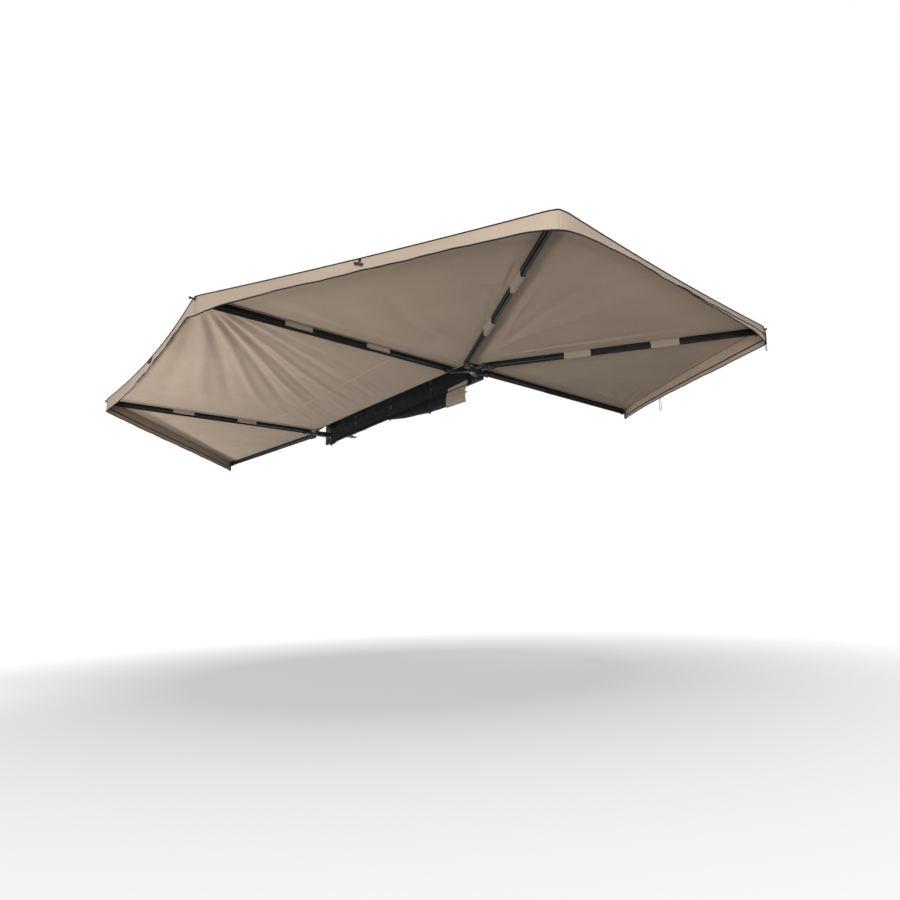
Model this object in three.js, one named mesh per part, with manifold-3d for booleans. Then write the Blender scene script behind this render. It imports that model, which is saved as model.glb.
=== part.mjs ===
// Freestanding wrap-around side awning for a vehicle's roof rack, deployed, with its legs stowed.
// Millimetres. +X forward along the rail, +Y outboard, +Z up.
// The origin is the centre of the middle rack bracket's foot, on its underside.
import * as THREE from 'three';
import * as BufferGeometryUtils from 'three/addons/utils/BufferGeometryUtils.js';
import Module from 'manifold-3d';

const wasm = await Module();
wasm.setup();

// Driving dimensions
const REAR_PIN_X = -1270;
const FRONT_PIN_X = 1280;
const PIN_Y = 195;
const REACH = 2050;
const RUNNING_GAP = 0.5;
const SEAT_GAP = 0.3;
const OVERRUN = 5;
const RING_SIDES = 32;
const PIN_SIDES = 24;
const TUBE_SIDES = 20;
const SMALL_SIDES = 16;

// Arm section, from the leg's underside up
const LEG_DIAMETER = 19;
const LEG_WALL = 1.5;
const LEG_TO_BEAM_GAP = 1.5;
const BEAM_WIDTH = 30;
const BEAM_HEIGHT = 27;
const BEAM_WALL = 2;
const BEAM_CHAMFER = 2;
const BEAM_GROOVE_WIDTH = 7;
const BEAM_GROOVE_DEPTH = 0.8;
const BEAM_BOTTOM = LEG_DIAMETER + LEG_TO_BEAM_GAP;
const BEAM_TOP = BEAM_BOTTOM + BEAM_HEIGHT;
const BEAM_MIDDLE = (BEAM_BOTTOM + BEAM_TOP) / 2;
const LEG_RADIUS = LEG_DIAMETER / 2;
const BEAM_HALF = BEAM_WIDTH / 2;

// Canvas over the arms
const CANVAS_LIFT = 1.6;
const CANVAS_THICKNESS = 1.5;
const CANVAS_UNDER = BEAM_TOP + CANVAS_LIFT;
const PANEL_GAP = 0.6;
const VALANCE_FLARE = 8;
const VALANCE_ROW_SHARES = [0.5, 1];

// The valance's depth at these shares of a panel's width, from its first seam to its last
const VALANCE_STATION_SHARES = [0, 0.08, 0.25, 0.5, 0.75, 0.92, 1];
const FRONT_FAN_DEPTHS = [104, 108, 112, 107, 104, 102, 101];
const SIDE_PANEL_DEPTHS = [118, 56, 58, 78, 110, 108, 104];
const SIDE_FAN_DEPTHS = [105, 81, 74, 75, 77, 91, 118];
const REAR_FAN_DEPTHS = [119, 72, 60, 47, 43, 72, 105];
const FAR_FAN_DEPTHS = [82, 79, 76, 89, 107, 114, 119];

// Canvas grid
const SEAM_START = 60;
const SEAM_JOIN = 150;
const FAN_BOW = 20;
const SIDE_BOW = 50;
const CANVAS_COLUMNS = 16;
const FAN_ROW_SHARES = [0, 0.045, 0.35, 0.7, 1];
const EYELET_LENGTH = 80;
const EYELET_SIDES = 12;

// The rear arms' level, and the front arms' level that clears their canvas
const REAR_LEVEL = 20;
const LEVEL_CLEARANCE = 1.4;
const FRONT_LEVEL = REAR_LEVEL + CANVAS_UNDER + CANVAS_THICKNESS + LEVEL_CLEARANCE;

// Pivot knuckles
const PIN_RADIUS = 8;
const PIN_HOLE_CLEARANCE = 0.6;
const PIN_HEAD_RADIUS = 13;
const PIN_HEAD_HEIGHT = 2.4;
const RING_RADIUS = 22;
const KNUCKLE_PLATE = 6;
const LEAF_THICKNESS = 8;
const REAR_LEAVES = 4;
const LEAF_STACK = REAR_LEAVES * LEAF_THICKNESS + (REAR_LEAVES - 1) * RUNNING_GAP;
const KNUCKLE_HEIGHT = 2 * KNUCKLE_PLATE + LEAF_STACK + 2 * RUNNING_GAP;
const FLANGE_THICKNESS = 6;
const REAR_WEB = [27, 82];
const REAR_FLANGE = [40, 140];
const REAR_FLANGE_Z = [4, 104];
const REAR_PLATE_INSIDE = [25, -80];
const FRONT_WEB_HALF = 25;
const WEB_TO_PIN = 34;
const FRONT_FLANGE_HALF = 62;
const FRONT_FLANGE_Z = [46, 146];

// Root and tip fittings along the arm
const BLOCK_START = 90;
const BLOCK_LENGTH = 35;
const BEAM_START = BLOCK_START + BLOCK_LENGTH;
const SPIGOT_LENGTH = 60;
const SPIGOT_CLEARANCE = 0.3;
const CHEEK_CLEARANCE = 0.8;
const TIP_INSET = 20;
const TIP_BLOCK_LENGTH = 45;
const TIP_END = REACH - TIP_INSET;
const BEAM_END = TIP_END - TIP_BLOCK_LENGTH;
const PEG_RADIUS = 5;
const PEG_LENGTH = 50;
const SHORT_PEG_LENGTH = 30;
const PEG_SLOT_CLEARANCE = 3;
const HINGE_INSET = 18;
const HINGE_S = TIP_END - HINGE_INSET;
const HINGE_PIN_RADIUS = 3;
const HINGE_PIN_CLEARANCE = 0.4;

// Drop-down legs
const LEG_TUBE_LENGTH = 1150;
const LEG_HEAD_PLUG = 30;
const POLE_CLEARANCE = 0.4;
const POLE_WALL = 1.4;
const POLE_OVERLAP = 480;
const FOOT_LENGTH = 40;
const FOOT_TO_BLOCK = 6;
const FOOT_S = BEAM_START + FOOT_TO_BLOCK;

// Fabric loops round the arms
const LOOP_LENGTH = 190;
const LOOP_THICKNESS = 0.8;
const LOOP_GAP = 0.35;
const LOOP_PLACE_SHARES = [0.344, 0.639];

// Rail, brackets and bag
const RAIL_REAR_X = -1235;
const RAIL_FRONT_X = 1350;
const RAIL_DEPTH = 25;
const RAIL_HEIGHT = 210;
const RAIL_WALL = 2.5;
const RAIL_CHAMFER = 2;
const PIN_TO_RAIL = 124.3;
const RAIL_FACE_Y = PIN_Y - PIN_TO_RAIL;
const RAIL_BACK_Y = RAIL_FACE_Y - RAIL_DEPTH;
const TRACK_WIDTH = 6;
const TRACK_DEPTH = 7;
const CAP_THICKNESS = 4;
const CAP_PLUG = 30;
const BRACKET_PLATE = 5;
const BRACKET_WIDTH = 60;
const BRACKET_HEIGHT = 120;
const BRACKET_GUSSET_HEIGHT = 70;
const BRACKET_SPACING = 900;
const SLOT_WIDTH = 9;
const SLOT_LENGTH = 40;
const SLOT_SPACING = 34.5;

// Travel bag: its lower edge drops by these shares of its drop at these shares of its length
const BAG_REAR_X = -1060;
const BAG_FRONT_X = 1205;
const BAG_TOP_INSET = 15;
const BAG_TOP_Z = RAIL_HEIGHT - BAG_TOP_INSET;
const BAG_THICKNESS = 3;
const BAG_BULGE_TOP_Z = 12;
const BAG_BULGE = 26;
const BAG_LEAST_BULGE_SHARE = 0.5;
const BAG_DROP = 150;
const BAG_STATION_SHARES = [0, 0.1, 0.22, 0.31, 0.39, 0.5, 0.65, 0.9, 1];
const BAG_DROP_SHARES = [0.98, 0.87, 0.85, 0.67, 0.49, 0.22, 0.19, 0.18, 0.32];
const BAG_COLUMN_SHARES = [[0.25, 0.45], [0.55, 0.9], [0.85, 1], [1, 0.75]];
const STRAP_WIDTH = 26;
const STRAP_THICKNESS = 1.6;
const STRAP_GAP = 0.5;
const STRAP_TOP_INSET = 14;
const STRAP_PLACES = [690, 40, -592];
const BUCKLE_HEIGHT_SHARES = [0.45, 0.78];
const BUCKLE_HEIGHT = 24;
const BUCKLE_WIDTH = 36;
const BUCKLE_DEPTH = 7;
const FLAP_PAST_BAG = 18;
const FLAP_REAR_X = BAG_REAR_X - FLAP_PAST_BAG;
const FLAP_FRONT_X = -826;
const FLAP_TOP_Z = 42;
const FLAP_BOTTOM_Z = -146;
const FLAP_THICKNESS = 2;

// Hanging cord loops
const CORD_DIAMETER = 4;
const CORD_SIDES = 8;
const CORD_HANG = 1.25;
const CORNER_CORD_DROP = 56;
const CORNER_CORD_WIDTH = 32;
const CORD_STEP = 6;
const CORD_SIDE_SHARES = [[0.55, 0], [0.85, 0.3], [1, 0.65]];
const CORD_ARC_DEGREES = [0, 22.5, 45, 67.5];
const HEM_CORD_DROP = 112;
const HEM_CORD_WIDTH = 30;
const HEM_CORD_COLUMN = 5;

// Arms, from the front corner round to the rear: direction when deployed, when folded, the lane
// beside the pin, the place of the leaf in its knuckle, and how far its peg sticks out
const LANE_PITCH = 33;
const REAR = { x: REAR_PIN_X, level: REAR_LEVEL, leaves: REAR_LEAVES };
const FRONT = { x: FRONT_PIN_X, level: FRONT_LEVEL, leaves: 2 };
const ARMS = [
  { name: 'arm_1', pivot: FRONT, degrees: 7, lane: -LANE_PITCH / 2, leaf: 1, loops: 'none' },
  { name: 'arm_2', pivot: FRONT, degrees: 91, lane: LANE_PITCH / 2, leaf: 0, loops: 'beam' },
  { name: 'arm_3', pivot: REAR, degrees: 93, lane: -3 * LANE_PITCH, leaf: 0, loops: 'beam' },
  { name: 'arm_4', pivot: REAR, degrees: 153, lane: -2 * LANE_PITCH, leaf: 1, loops: 'leg' },
  { name: 'arm_5', pivot: REAR, degrees: 216, lane: -LANE_PITCH, leaf: 2, loops: 'leg' },
  { name: 'arm_6', pivot: REAR, degrees: 273, lane: 0, leaf: 3, loops: 'none' },
];
const PEG_LENGTHS = {
  arm_1: SHORT_PEG_LENGTH,
  arm_2: SHORT_PEG_LENGTH,
  arm_3: PEG_LENGTH,
  arm_4: 0,
  arm_5: SHORT_PEG_LENGTH,
  arm_6: PEG_LENGTH,
};
const hasPeg = (arm) => PEG_LENGTHS[arm.name] > 0;

// Materials
const finish = (color, roughness, metalness) =>
  new THREE.MeshStandardMaterial({ color, roughness, metalness });
const ARM_BLACK = finish(0x1b1b1d, 0.42, 0.55);
const FITTING_BLACK = finish(0x141416, 0.55, 0.1);
const ALUMINIUM = finish(0xa9adb1, 0.35, 0.9);
const STEEL = finish(0xc9cbcf, 0.25, 0.95);
const CANVAS_TAN = finish(0x9d8a76, 0.9, 0);
const BAG_BLACK = finish(0x17181b, 0.8, 0);
const WEBBING_BLACK = finish(0x0f0f10, 0.85, 0);

// Solid helpers
function toManifold(geometry) {
  const bare = geometry.index ? geometry.toNonIndexed() : geometry.clone();
  bare.deleteAttribute('normal');
  bare.deleteAttribute('uv');
  const merged = BufferGeometryUtils.mergeVertices(bare);
  return new wasm.Manifold(new wasm.Mesh({
    numProp: 3,
    vertProperties: new Float32Array(merged.attributes.position.array),
    triVerts: new Uint32Array(merged.index.array),
  }));
}

function toGeometry(solid) {
  const { vertProperties, triVerts, numProp } = solid.getMesh();
  const geometry = new THREE.BufferGeometry();
  const count = vertProperties.length / numProp;
  const positions = new Float32Array(3 * count);
  for (let i = 0; i < count; i += 1) {
    positions.set(vertProperties.slice(i * numProp, i * numProp + 3), 3 * i);
  }
  geometry.setAttribute('position', new THREE.BufferAttribute(positions, 3));
  geometry.setIndex(new THREE.BufferAttribute(new Uint32Array(triVerts), 1));
  geometry.computeVertexNormals();
  return geometry;
}

function box(x0, x1, y0, y1, z0, z1) {
  const geometry = new THREE.BoxGeometry(x1 - x0, y1 - y0, z1 - z0);
  return toManifold(geometry.translate((x0 + x1) / 2, (y0 + y1) / 2, (z0 + z1) / 2));
}

function outline(points) {
  return new THREE.Shape(points.map(([x, y]) => new THREE.Vector2(x, y)));
}

// An upright prism over an outline in plan
function prism(points, z0, z1) {
  const geometry = new THREE.ExtrudeGeometry(outline(points), { depth: z1 - z0, bevelEnabled: false });
  return toManifold(geometry.translate(0, 0, z0));
}

// A bar along X with an outline in Y and Z
function barAlongX(points, x0, x1) {
  const geometry = new THREE.ExtrudeGeometry(outline(points), { depth: x1 - x0, bevelEnabled: false });
  geometry.applyMatrix4(new THREE.Matrix4().makeBasis(
    new THREE.Vector3(0, 1, 0),
    new THREE.Vector3(0, 0, 1),
    new THREE.Vector3(1, 0, 0),
  ));
  return toManifold(geometry.translate(x0, 0, 0));
}

// The same bar with holes right through it
function tubeAlongX(points, holes, x0, x1) {
  return cut(barAlongX(points, x0, x1), holes.map((hole) => barAlongX(hole, x0 - OVERRUN, x1 + OVERRUN)));
}

function rodZ(x, y, radius, z0, z1, sides) {
  const geometry = new THREE.CylinderGeometry(radius, radius, z1 - z0, sides);
  return toManifold(geometry.rotateX(Math.PI / 2).translate(x, y, (z0 + z1) / 2));
}

function rodY(x, z, radius, y0, y1, sides) {
  const geometry = new THREE.CylinderGeometry(radius, radius, y1 - y0, sides);
  return toManifold(geometry.translate(x, (y0 + y1) / 2, z));
}

function rodX(y, z, radius, x0, x1, sides) {
  const geometry = new THREE.CylinderGeometry(radius, radius, x1 - x0, sides);
  return toManifold(geometry.rotateZ(Math.PI / 2).translate((x0 + x1) / 2, y, z));
}

function union(solids) {
  return solids.reduce((sum, solid) => sum.add(solid));
}

function cut(solid, tools) {
  return tools.reduce((rest, tool) => rest.subtract(tool), solid);
}

// A rectangle in Y and Z with its corners cut off
function chamfered(y0, y1, z0, z1, chamfer) {
  return [
    [y0 + chamfer, z0], [y1 - chamfer, z0], [y1, z0 + chamfer], [y1, z1 - chamfer],
    [y1 - chamfer, z1], [y0 + chamfer, z1], [y0, z1 - chamfer], [y0, z0 + chamfer],
  ];
}

// A closed thin solid under a grid of points, as thick as the cloth. Where a seam plane's normal
// is given for the first and last column, the underside stays in that plane.
function sheetSolid(rows, thickness, seamNormals = []) {
  const rowCount = rows.length;
  const columnCount = rows[0].length;
  const top = rows.flat();
  const index = (r, c) => r * columnCount + c;
  const faces = [];
  for (let r = 0; r + 1 < rowCount; r += 1) {
    for (let c = 0; c + 1 < columnCount; c += 1) {
      const [a, b, d, e] = [index(r, c), index(r, c + 1), index(r + 1, c), index(r + 1, c + 1)];
      faces.push([a, b, d], [b, e, d]);
    }
  }
  const skin = new THREE.BufferGeometry();
  skin.setAttribute('position', new THREE.Float32BufferAttribute(top.flatMap((p) => p.toArray()), 3));
  skin.setIndex(faces.flat());
  skin.computeVertexNormals();
  const under = top.map((p, i) => {
    const normal = new THREE.Vector3().fromBufferAttribute(skin.attributes.normal, i);
    const column = i % columnCount;
    const seam = column === 0 ? seamNormals[0] : column === columnCount - 1 && seamNormals[1];
    const inPlane = seam ? normal.clone().addScaledVector(seam, -normal.dot(seam)) : normal;
    return p.clone().addScaledVector(inPlane, -thickness / inPlane.dot(normal));
  });
  const count = top.length;
  const triangles = [...faces, ...faces.map(([a, b, c]) => [a + count, c + count, b + count])];
  const wall = (a, b) => triangles.push([a, b, a + count], [b, b + count, a + count]);
  for (let c = 0; c + 1 < columnCount; c += 1) {
    wall(index(0, c + 1), index(0, c));
    wall(index(rowCount - 1, c), index(rowCount - 1, c + 1));
  }
  for (let r = 0; r + 1 < rowCount; r += 1) {
    wall(index(r, 0), index(r + 1, 0));
    wall(index(r + 1, columnCount - 1), index(r, columnCount - 1));
  }
  const geometry = new THREE.BufferGeometry();
  const positions = [...top, ...under].flatMap((p) => p.toArray());
  geometry.setAttribute('position', new THREE.Float32BufferAttribute(positions, 3));
  geometry.setIndex(triangles.flat());
  return toManifold(geometry);
}

const awning = new THREE.Group();

function addTo(group, name, solid, material) {
  const mesh = new THREE.Mesh(toGeometry(solid), material);
  mesh.name = name;
  group.add(mesh);
}

// Hinge leaf at an arm's root: ring on the pin, a plate out to the arm's lane, a full-height
// block, a spigot inside the beam and two cheeks that hold the stowed leg's foot
function rootFitting(arm) {
  const { lane, leaf, pivot } = arm;
  const thickness = (LEAF_STACK - (pivot.leaves - 1) * RUNNING_GAP) / pivot.leaves;
  const z0 = KNUCKLE_PLATE + RUNNING_GAP + leaf * (thickness + RUNNING_GAP);
  const z1 = z0 + thickness;
  const across = new THREE.Vector2(-lane, BLOCK_START).normalize();
  const plate = prism([
    [across.x * RING_RADIUS, across.y * RING_RADIUS],
    [-across.x * RING_RADIUS, -across.y * RING_RADIUS],
    [BLOCK_START, lane - BEAM_HALF],
    [BLOCK_START + OVERRUN, lane - BEAM_HALF],
    [BLOCK_START + OVERRUN, lane + BEAM_HALF],
    [BLOCK_START, lane + BEAM_HALF],
  ], z0, z1);
  const inner = BEAM_HALF - BEAM_WALL - SPIGOT_CLEARANCE;
  const wall = BEAM_WALL + SPIGOT_CLEARANCE;
  const cheekInside = LEG_RADIUS + CHEEK_CLEARANCE;
  const blockEnd = BEAM_START - SEAT_GAP;
  const spigotEnd = BEAM_START + SPIGOT_LENGTH;
  const body = union([
    rodZ(0, 0, RING_RADIUS, z0, z1, RING_SIDES),
    plate,
    box(BLOCK_START, blockEnd, lane - BEAM_HALF, lane + BEAM_HALF, 0, BEAM_TOP),
    box(BLOCK_START, spigotEnd, lane - inner, lane + inner, BEAM_BOTTOM + wall, BEAM_TOP - wall),
    box(BLOCK_START, spigotEnd, lane - BEAM_HALF, lane - cheekInside, 0, LEG_DIAMETER),
    box(BLOCK_START, spigotEnd, lane + cheekInside, lane + BEAM_HALF, 0, LEG_DIAMETER),
  ]);
  return cut(body, [rodZ(0, 0, PIN_RADIUS + PIN_HOLE_CLEARANCE, z0 - OVERRUN, z1 + OVERRUN, PIN_SIDES)]);
}

// Box beam with a side groove, open at both ends
function beam(arm) {
  const [y0, y1] = [arm.lane - BEAM_HALF, arm.lane + BEAM_HALF];
  const hole = [
    [y0 + BEAM_WALL, BEAM_BOTTOM + BEAM_WALL], [y1 - BEAM_WALL, BEAM_BOTTOM + BEAM_WALL],
    [y1 - BEAM_WALL, BEAM_TOP - BEAM_WALL], [y0 + BEAM_WALL, BEAM_TOP - BEAM_WALL],
  ];
  const section = chamfered(y0, y1, BEAM_BOTTOM, BEAM_TOP, BEAM_CHAMFER);
  const [g0, g1] = [BEAM_MIDDLE - BEAM_GROOVE_WIDTH / 2, BEAM_MIDDLE + BEAM_GROOVE_WIDTH / 2];
  const [x0, x1] = [BEAM_START, BEAM_END - SEAT_GAP];
  return cut(tubeAlongX(section, [hole], x0, x1), [
    box(x0 - OVERRUN, x1 + OVERRUN, y0 - OVERRUN, y0 + BEAM_GROOVE_DEPTH, g0, g1),
    box(x0 - OVERRUN, x1 + OVERRUN, y1 - BEAM_GROOVE_DEPTH, y1 + OVERRUN, g0, g1),
  ]);
}

// Tip fitting: spigot, corner block, the peg for the canvas, and the leg hinge's cheeks and pin
function tipFitting(arm) {
  const { lane } = arm;
  const inner = BEAM_HALF - BEAM_WALL - SPIGOT_CLEARANCE;
  const wall = BEAM_WALL + SPIGOT_CLEARANCE;
  const cheekInside = LEG_RADIUS + CHEEK_CLEARANCE;
  const [y0, y1] = [lane - BEAM_HALF, lane + BEAM_HALF];
  const [z0, z1] = [BEAM_BOTTOM + wall, BEAM_TOP - wall];
  const block = barAlongX(chamfered(y0, y1, BEAM_BOTTOM, BEAM_TOP, BEAM_CHAMFER), BEAM_END, TIP_END);
  const pegEnd = TIP_END + PEG_LENGTHS[arm.name];
  const pegs = hasPeg(arm)
    ? [rodX(lane, BEAM_MIDDLE, PEG_RADIUS, TIP_END - OVERRUN, pegEnd, SMALL_SIDES)]
    : [];
  return union([
    block,
    box(BEAM_END - SPIGOT_LENGTH, TIP_END - OVERRUN, lane - inner, lane + inner, z0, z1),
    box(BEAM_END, TIP_END, y0, lane - cheekInside, 0, BEAM_BOTTOM + OVERRUN),
    box(BEAM_END, TIP_END, lane + cheekInside, y1, 0, BEAM_BOTTOM + OVERRUN),
    rodY(HINGE_S, LEG_RADIUS, HINGE_PIN_RADIUS, y0 + CHEEK_CLEARANCE, y1 - CHEEK_CLEARANCE, SMALL_SIDES),
    ...pegs,
  ]);
}

// Leg's outer tube, with the hinged head at the arm's tip and an open far end
function legTube(arm) {
  const { lane } = arm;
  const end = HINGE_S - LEG_TUBE_LENGTH;
  const solid = union([
    rodX(lane, LEG_RADIUS, LEG_RADIUS, end, HINGE_S, TUBE_SIDES),
    rodY(HINGE_S, LEG_RADIUS, LEG_RADIUS, lane - LEG_RADIUS, lane + LEG_RADIUS, TUBE_SIDES),
  ]);
  const pinHole = HINGE_PIN_RADIUS + HINGE_PIN_CLEARANCE;
  return cut(solid, [
    rodX(lane, LEG_RADIUS, LEG_RADIUS - LEG_WALL, end - OVERRUN, HINGE_S - LEG_HEAD_PLUG, TUBE_SIDES),
    rodY(HINGE_S, LEG_RADIUS, pinHole, lane - LEG_DIAMETER, lane + LEG_DIAMETER, SMALL_SIDES),
  ]);
}

// Leg's inner pole with its foot; the pole is hollow and open at its inner end
function legPole(arm) {
  const poleRadius = LEG_RADIUS - LEG_WALL - POLE_CLEARANCE;
  const boreRadius = poleRadius - POLE_WALL;
  const length = HINGE_S - LEG_TUBE_LENGTH + POLE_OVERLAP - FOOT_S;
  const profile = [
    [0, 0], [LEG_RADIUS - POLE_CLEARANCE, 0], [LEG_RADIUS, OVERRUN], [LEG_RADIUS, FOOT_LENGTH],
    [poleRadius, FOOT_LENGTH], [poleRadius, length], [boreRadius, length], [boreRadius, FOOT_LENGTH],
    [0, FOOT_LENGTH],
  ].map(([radius, height]) => new THREE.Vector2(radius, height));
  const geometry = new THREE.LatheGeometry(profile, TUBE_SIDES);
  return toManifold(geometry.rotateZ(-Math.PI / 2).translate(FOOT_S, arm.lane, LEG_RADIUS));
}

// Fabric loop round the beam, or round the beam and the stowed leg
function loop(arm, start) {
  const { lane } = arm;
  const under = arm.loops === 'leg' ? 0 : BEAM_BOTTOM;
  const inside = BEAM_HALF + LOOP_GAP;
  const outside = inside + LOOP_THICKNESS;
  const [z0, z1] = [under - LOOP_GAP, BEAM_TOP + LOOP_GAP];
  const rectangle = (half, low, high) => [
    [lane - half, low], [lane + half, low], [lane + half, high], [lane - half, high],
  ];
  const section = rectangle(outside, z0 - LOOP_THICKNESS, z1 + LOOP_THICKNESS);
  return tubeAlongX(section, [rectangle(inside, z0, z1)], start, start + LOOP_LENGTH);
}

ARMS.forEach((arm) => {
  const group = new THREE.Group();
  group.position.set(arm.pivot.x, PIN_Y, arm.pivot.level);
  group.rotation.z = THREE.MathUtils.degToRad(arm.degrees);
  addTo(group, `${arm.name}_hinge_leaf`, rootFitting(arm), FITTING_BLACK);
  addTo(group, `${arm.name}_beam`, beam(arm), ARM_BLACK);
  addTo(group, `${arm.name}_tip_fitting`, tipFitting(arm), FITTING_BLACK);
  addTo(group, `${arm.name}_leg_tube`, legTube(arm), ARM_BLACK);
  addTo(group, `${arm.name}_leg_pole`, legPole(arm), ALUMINIUM);
  if (arm.loops !== 'none') {
    addTo(group, `${arm.name}_inner_loop`, loop(arm, REACH * LOOP_PLACE_SHARES[0]), CANVAS_TAN);
    addTo(group, `${arm.name}_outer_loop`, loop(arm, REACH * LOOP_PLACE_SHARES[1]), CANVAS_TAN);
  }
  awning.add(group);
});

// Canvas: seams run along the arms' centre lines and close in on the pins
function acrossArm(arm) {
  const angle = THREE.MathUtils.degToRad(arm.degrees);
  return new THREE.Vector3(-Math.sin(angle), Math.cos(angle), 0);
}

function seamPoint(arm, s, side) {
  const angle = THREE.MathUtils.degToRad(arm.degrees);
  const lateral = arm.lane * Math.min(1, s / SEAM_JOIN) + side * PANEL_GAP / 2;
  return new THREE.Vector3(
    arm.pivot.x + s * Math.cos(angle) - lateral * Math.sin(angle),
    PIN_Y + s * Math.sin(angle) + lateral * Math.cos(angle),
    arm.pivot.level + CANVAS_UNDER + CANVAS_THICKNESS,
  );
}

// One row across a panel, bowed inward by the cloth's tension
function panelRow(start, end, bow) {
  const along = new THREE.Vector3().subVectors(end, start).setZ(0).normalize();
  const inward = new THREE.Vector3(-along.y, along.x, 0);
  return Array.from({ length: CANVAS_COLUMNS + 1 }, (_, i) => {
    const t = i / CANVAS_COLUMNS;
    return start.clone().lerp(end, t).addScaledVector(inward, bow * 4 * t * (1 - t));
  });
}

// The valance is deep at the corners and shallow between them
function valanceDepth(t, depths) {
  const i = Math.max(1, VALANCE_STATION_SHARES.findIndex((share) => share >= t));
  const [a, b] = [VALANCE_STATION_SHARES[i - 1], VALANCE_STATION_SHARES[i]];
  return THREE.MathUtils.lerp(depths[i - 1], depths[i], (t - a) / (b - a));
}

function valanceRows(edge, depths) {
  const along = new THREE.Vector3().subVectors(edge[CANVAS_COLUMNS], edge[0]).setZ(0).normalize();
  const outward = new THREE.Vector3(-along.y, along.x, 0);
  return VALANCE_ROW_SHARES.map((share) => edge.map((point, i) => {
    const t = i / CANVAS_COLUMNS;
    const flare = VALANCE_FLARE * share * 4 * t * (1 - t);
    const fall = new THREE.Vector3(0, 0, -share * valanceDepth(t, depths));
    return point.clone().addScaledVector(outward, flare).add(fall);
  }));
}

// The pegs stick out through eyelets at the corners
function pegEyelet(arm) {
  const radius = PEG_RADIUS + PEG_SLOT_CLEARANCE;
  const hole = new THREE.CylinderGeometry(radius, radius, EYELET_LENGTH, EYELET_SIDES);
  hole.rotateZ(Math.PI / 2).translate(REACH, arm.lane, arm.pivot.level + BEAM_MIDDLE);
  hole.rotateZ(THREE.MathUtils.degToRad(arm.degrees)).translate(arm.pivot.x, PIN_Y, 0);
  return toManifold(hole);
}

function panel(rows, first, last, depths) {
  const edge = rows[rows.length - 1];
  const seamNormals = [acrossArm(first), acrossArm(last)];
  const solid = sheetSolid([...rows, ...valanceRows(edge, depths)], CANVAS_THICKNESS, seamNormals);
  return cut(solid, [first, last].filter(hasPeg).map(pegEyelet));
}

// A fan between two arms of one knuckle; the panel's columns run clockwise
function fanPanel(later, earlier, depths) {
  const rows = FAN_ROW_SHARES.map((share) => {
    const s = THREE.MathUtils.lerp(SEAM_START, REACH, share);
    return panelRow(seamPoint(later, s, -1), seamPoint(earlier, s, 1), -FAN_BOW * share);
  });
  return panel(rows, later, earlier, depths);
}

// The long side panel runs from the rail's top track out to the two corners
const RAIL_CANVAS_Z = RAIL_HEIGHT + CANVAS_THICKNESS + SEAT_GAP;
function sidePanel(rearArm, frontArm) {
  const railRows = [(RAIL_FACE_Y + RAIL_BACK_Y) / 2, RAIL_FACE_Y + OVERRUN].map((y) => panelRow(
    new THREE.Vector3(RAIL_REAR_X, y, RAIL_CANVAS_Z),
    new THREE.Vector3(RAIL_FRONT_X, y, RAIL_CANVAS_Z), 0));
  const rows = FAN_ROW_SHARES.map((share) => {
    const s = THREE.MathUtils.lerp(SEAM_START, REACH, share);
    return panelRow(seamPoint(rearArm, s, -1), seamPoint(frontArm, s, 1), -SIDE_BOW * share);
  });
  return panel([...railRows, ...rows], rearArm, frontArm, SIDE_PANEL_DEPTHS);
}

const [arm1, arm2, arm3, arm4, arm5, arm6] = ARMS;
addTo(awning, 'canopy_front_fan', fanPanel(arm2, arm1, FRONT_FAN_DEPTHS), CANVAS_TAN);
addTo(awning, 'canopy_side_panel', sidePanel(arm3, arm2), CANVAS_TAN);
addTo(awning, 'canopy_side_fan', fanPanel(arm4, arm3, SIDE_FAN_DEPTHS), CANVAS_TAN);
addTo(awning, 'canopy_rear_fan', fanPanel(arm5, arm4, REAR_FAN_DEPTHS), CANVAS_TAN);
addTo(awning, 'canopy_far_fan', fanPanel(arm6, arm5, FAR_FAN_DEPTHS), CANVAS_TAN);

// Pivot knuckles: two plates round the leaves, joined by a web to a flange on the rail
function knuckle(pivot, plateOutline, webX, webFront, flangeX, flangeZ) {
  const { level, x } = pivot;
  const at = ([dx, dy]) => [x + dx, PIN_Y + dy];
  const top = level + KNUCKLE_HEIGHT;
  const flangeBack = RAIL_FACE_Y + SEAT_GAP;
  const flangeFront = flangeBack + FLANGE_THICKNESS;
  const plates = [level, top - KNUCKLE_PLATE].flatMap((z) => [
    prism(plateOutline.map(at), z, z + KNUCKLE_PLATE),
    rodZ(x, PIN_Y, RING_RADIUS, z, z + KNUCKLE_PLATE, RING_SIDES),
  ]);
  const solid = union([
    ...plates,
    box(x + webX[0], x + webX[1], flangeBack, webFront, level, top),
    box(x + flangeX[0], x + flangeX[1], flangeBack, flangeFront, flangeZ[0], flangeZ[1]),
  ]);
  const head = PIN_HEAD_RADIUS + PIN_HOLE_CLEARANCE;
  const sink = PIN_HEAD_HEIGHT + PIN_HOLE_CLEARANCE;
  return cut(solid, [
    rodZ(x, PIN_Y, PIN_RADIUS + SEAT_GAP, level - OVERRUN, top + OVERRUN, PIN_SIDES),
    rodZ(x, PIN_Y, head, level - OVERRUN, level + sink, PIN_SIDES),
    rodZ(x, PIN_Y, head, top - sink, top + OVERRUN, PIN_SIDES),
  ]);
}

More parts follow.
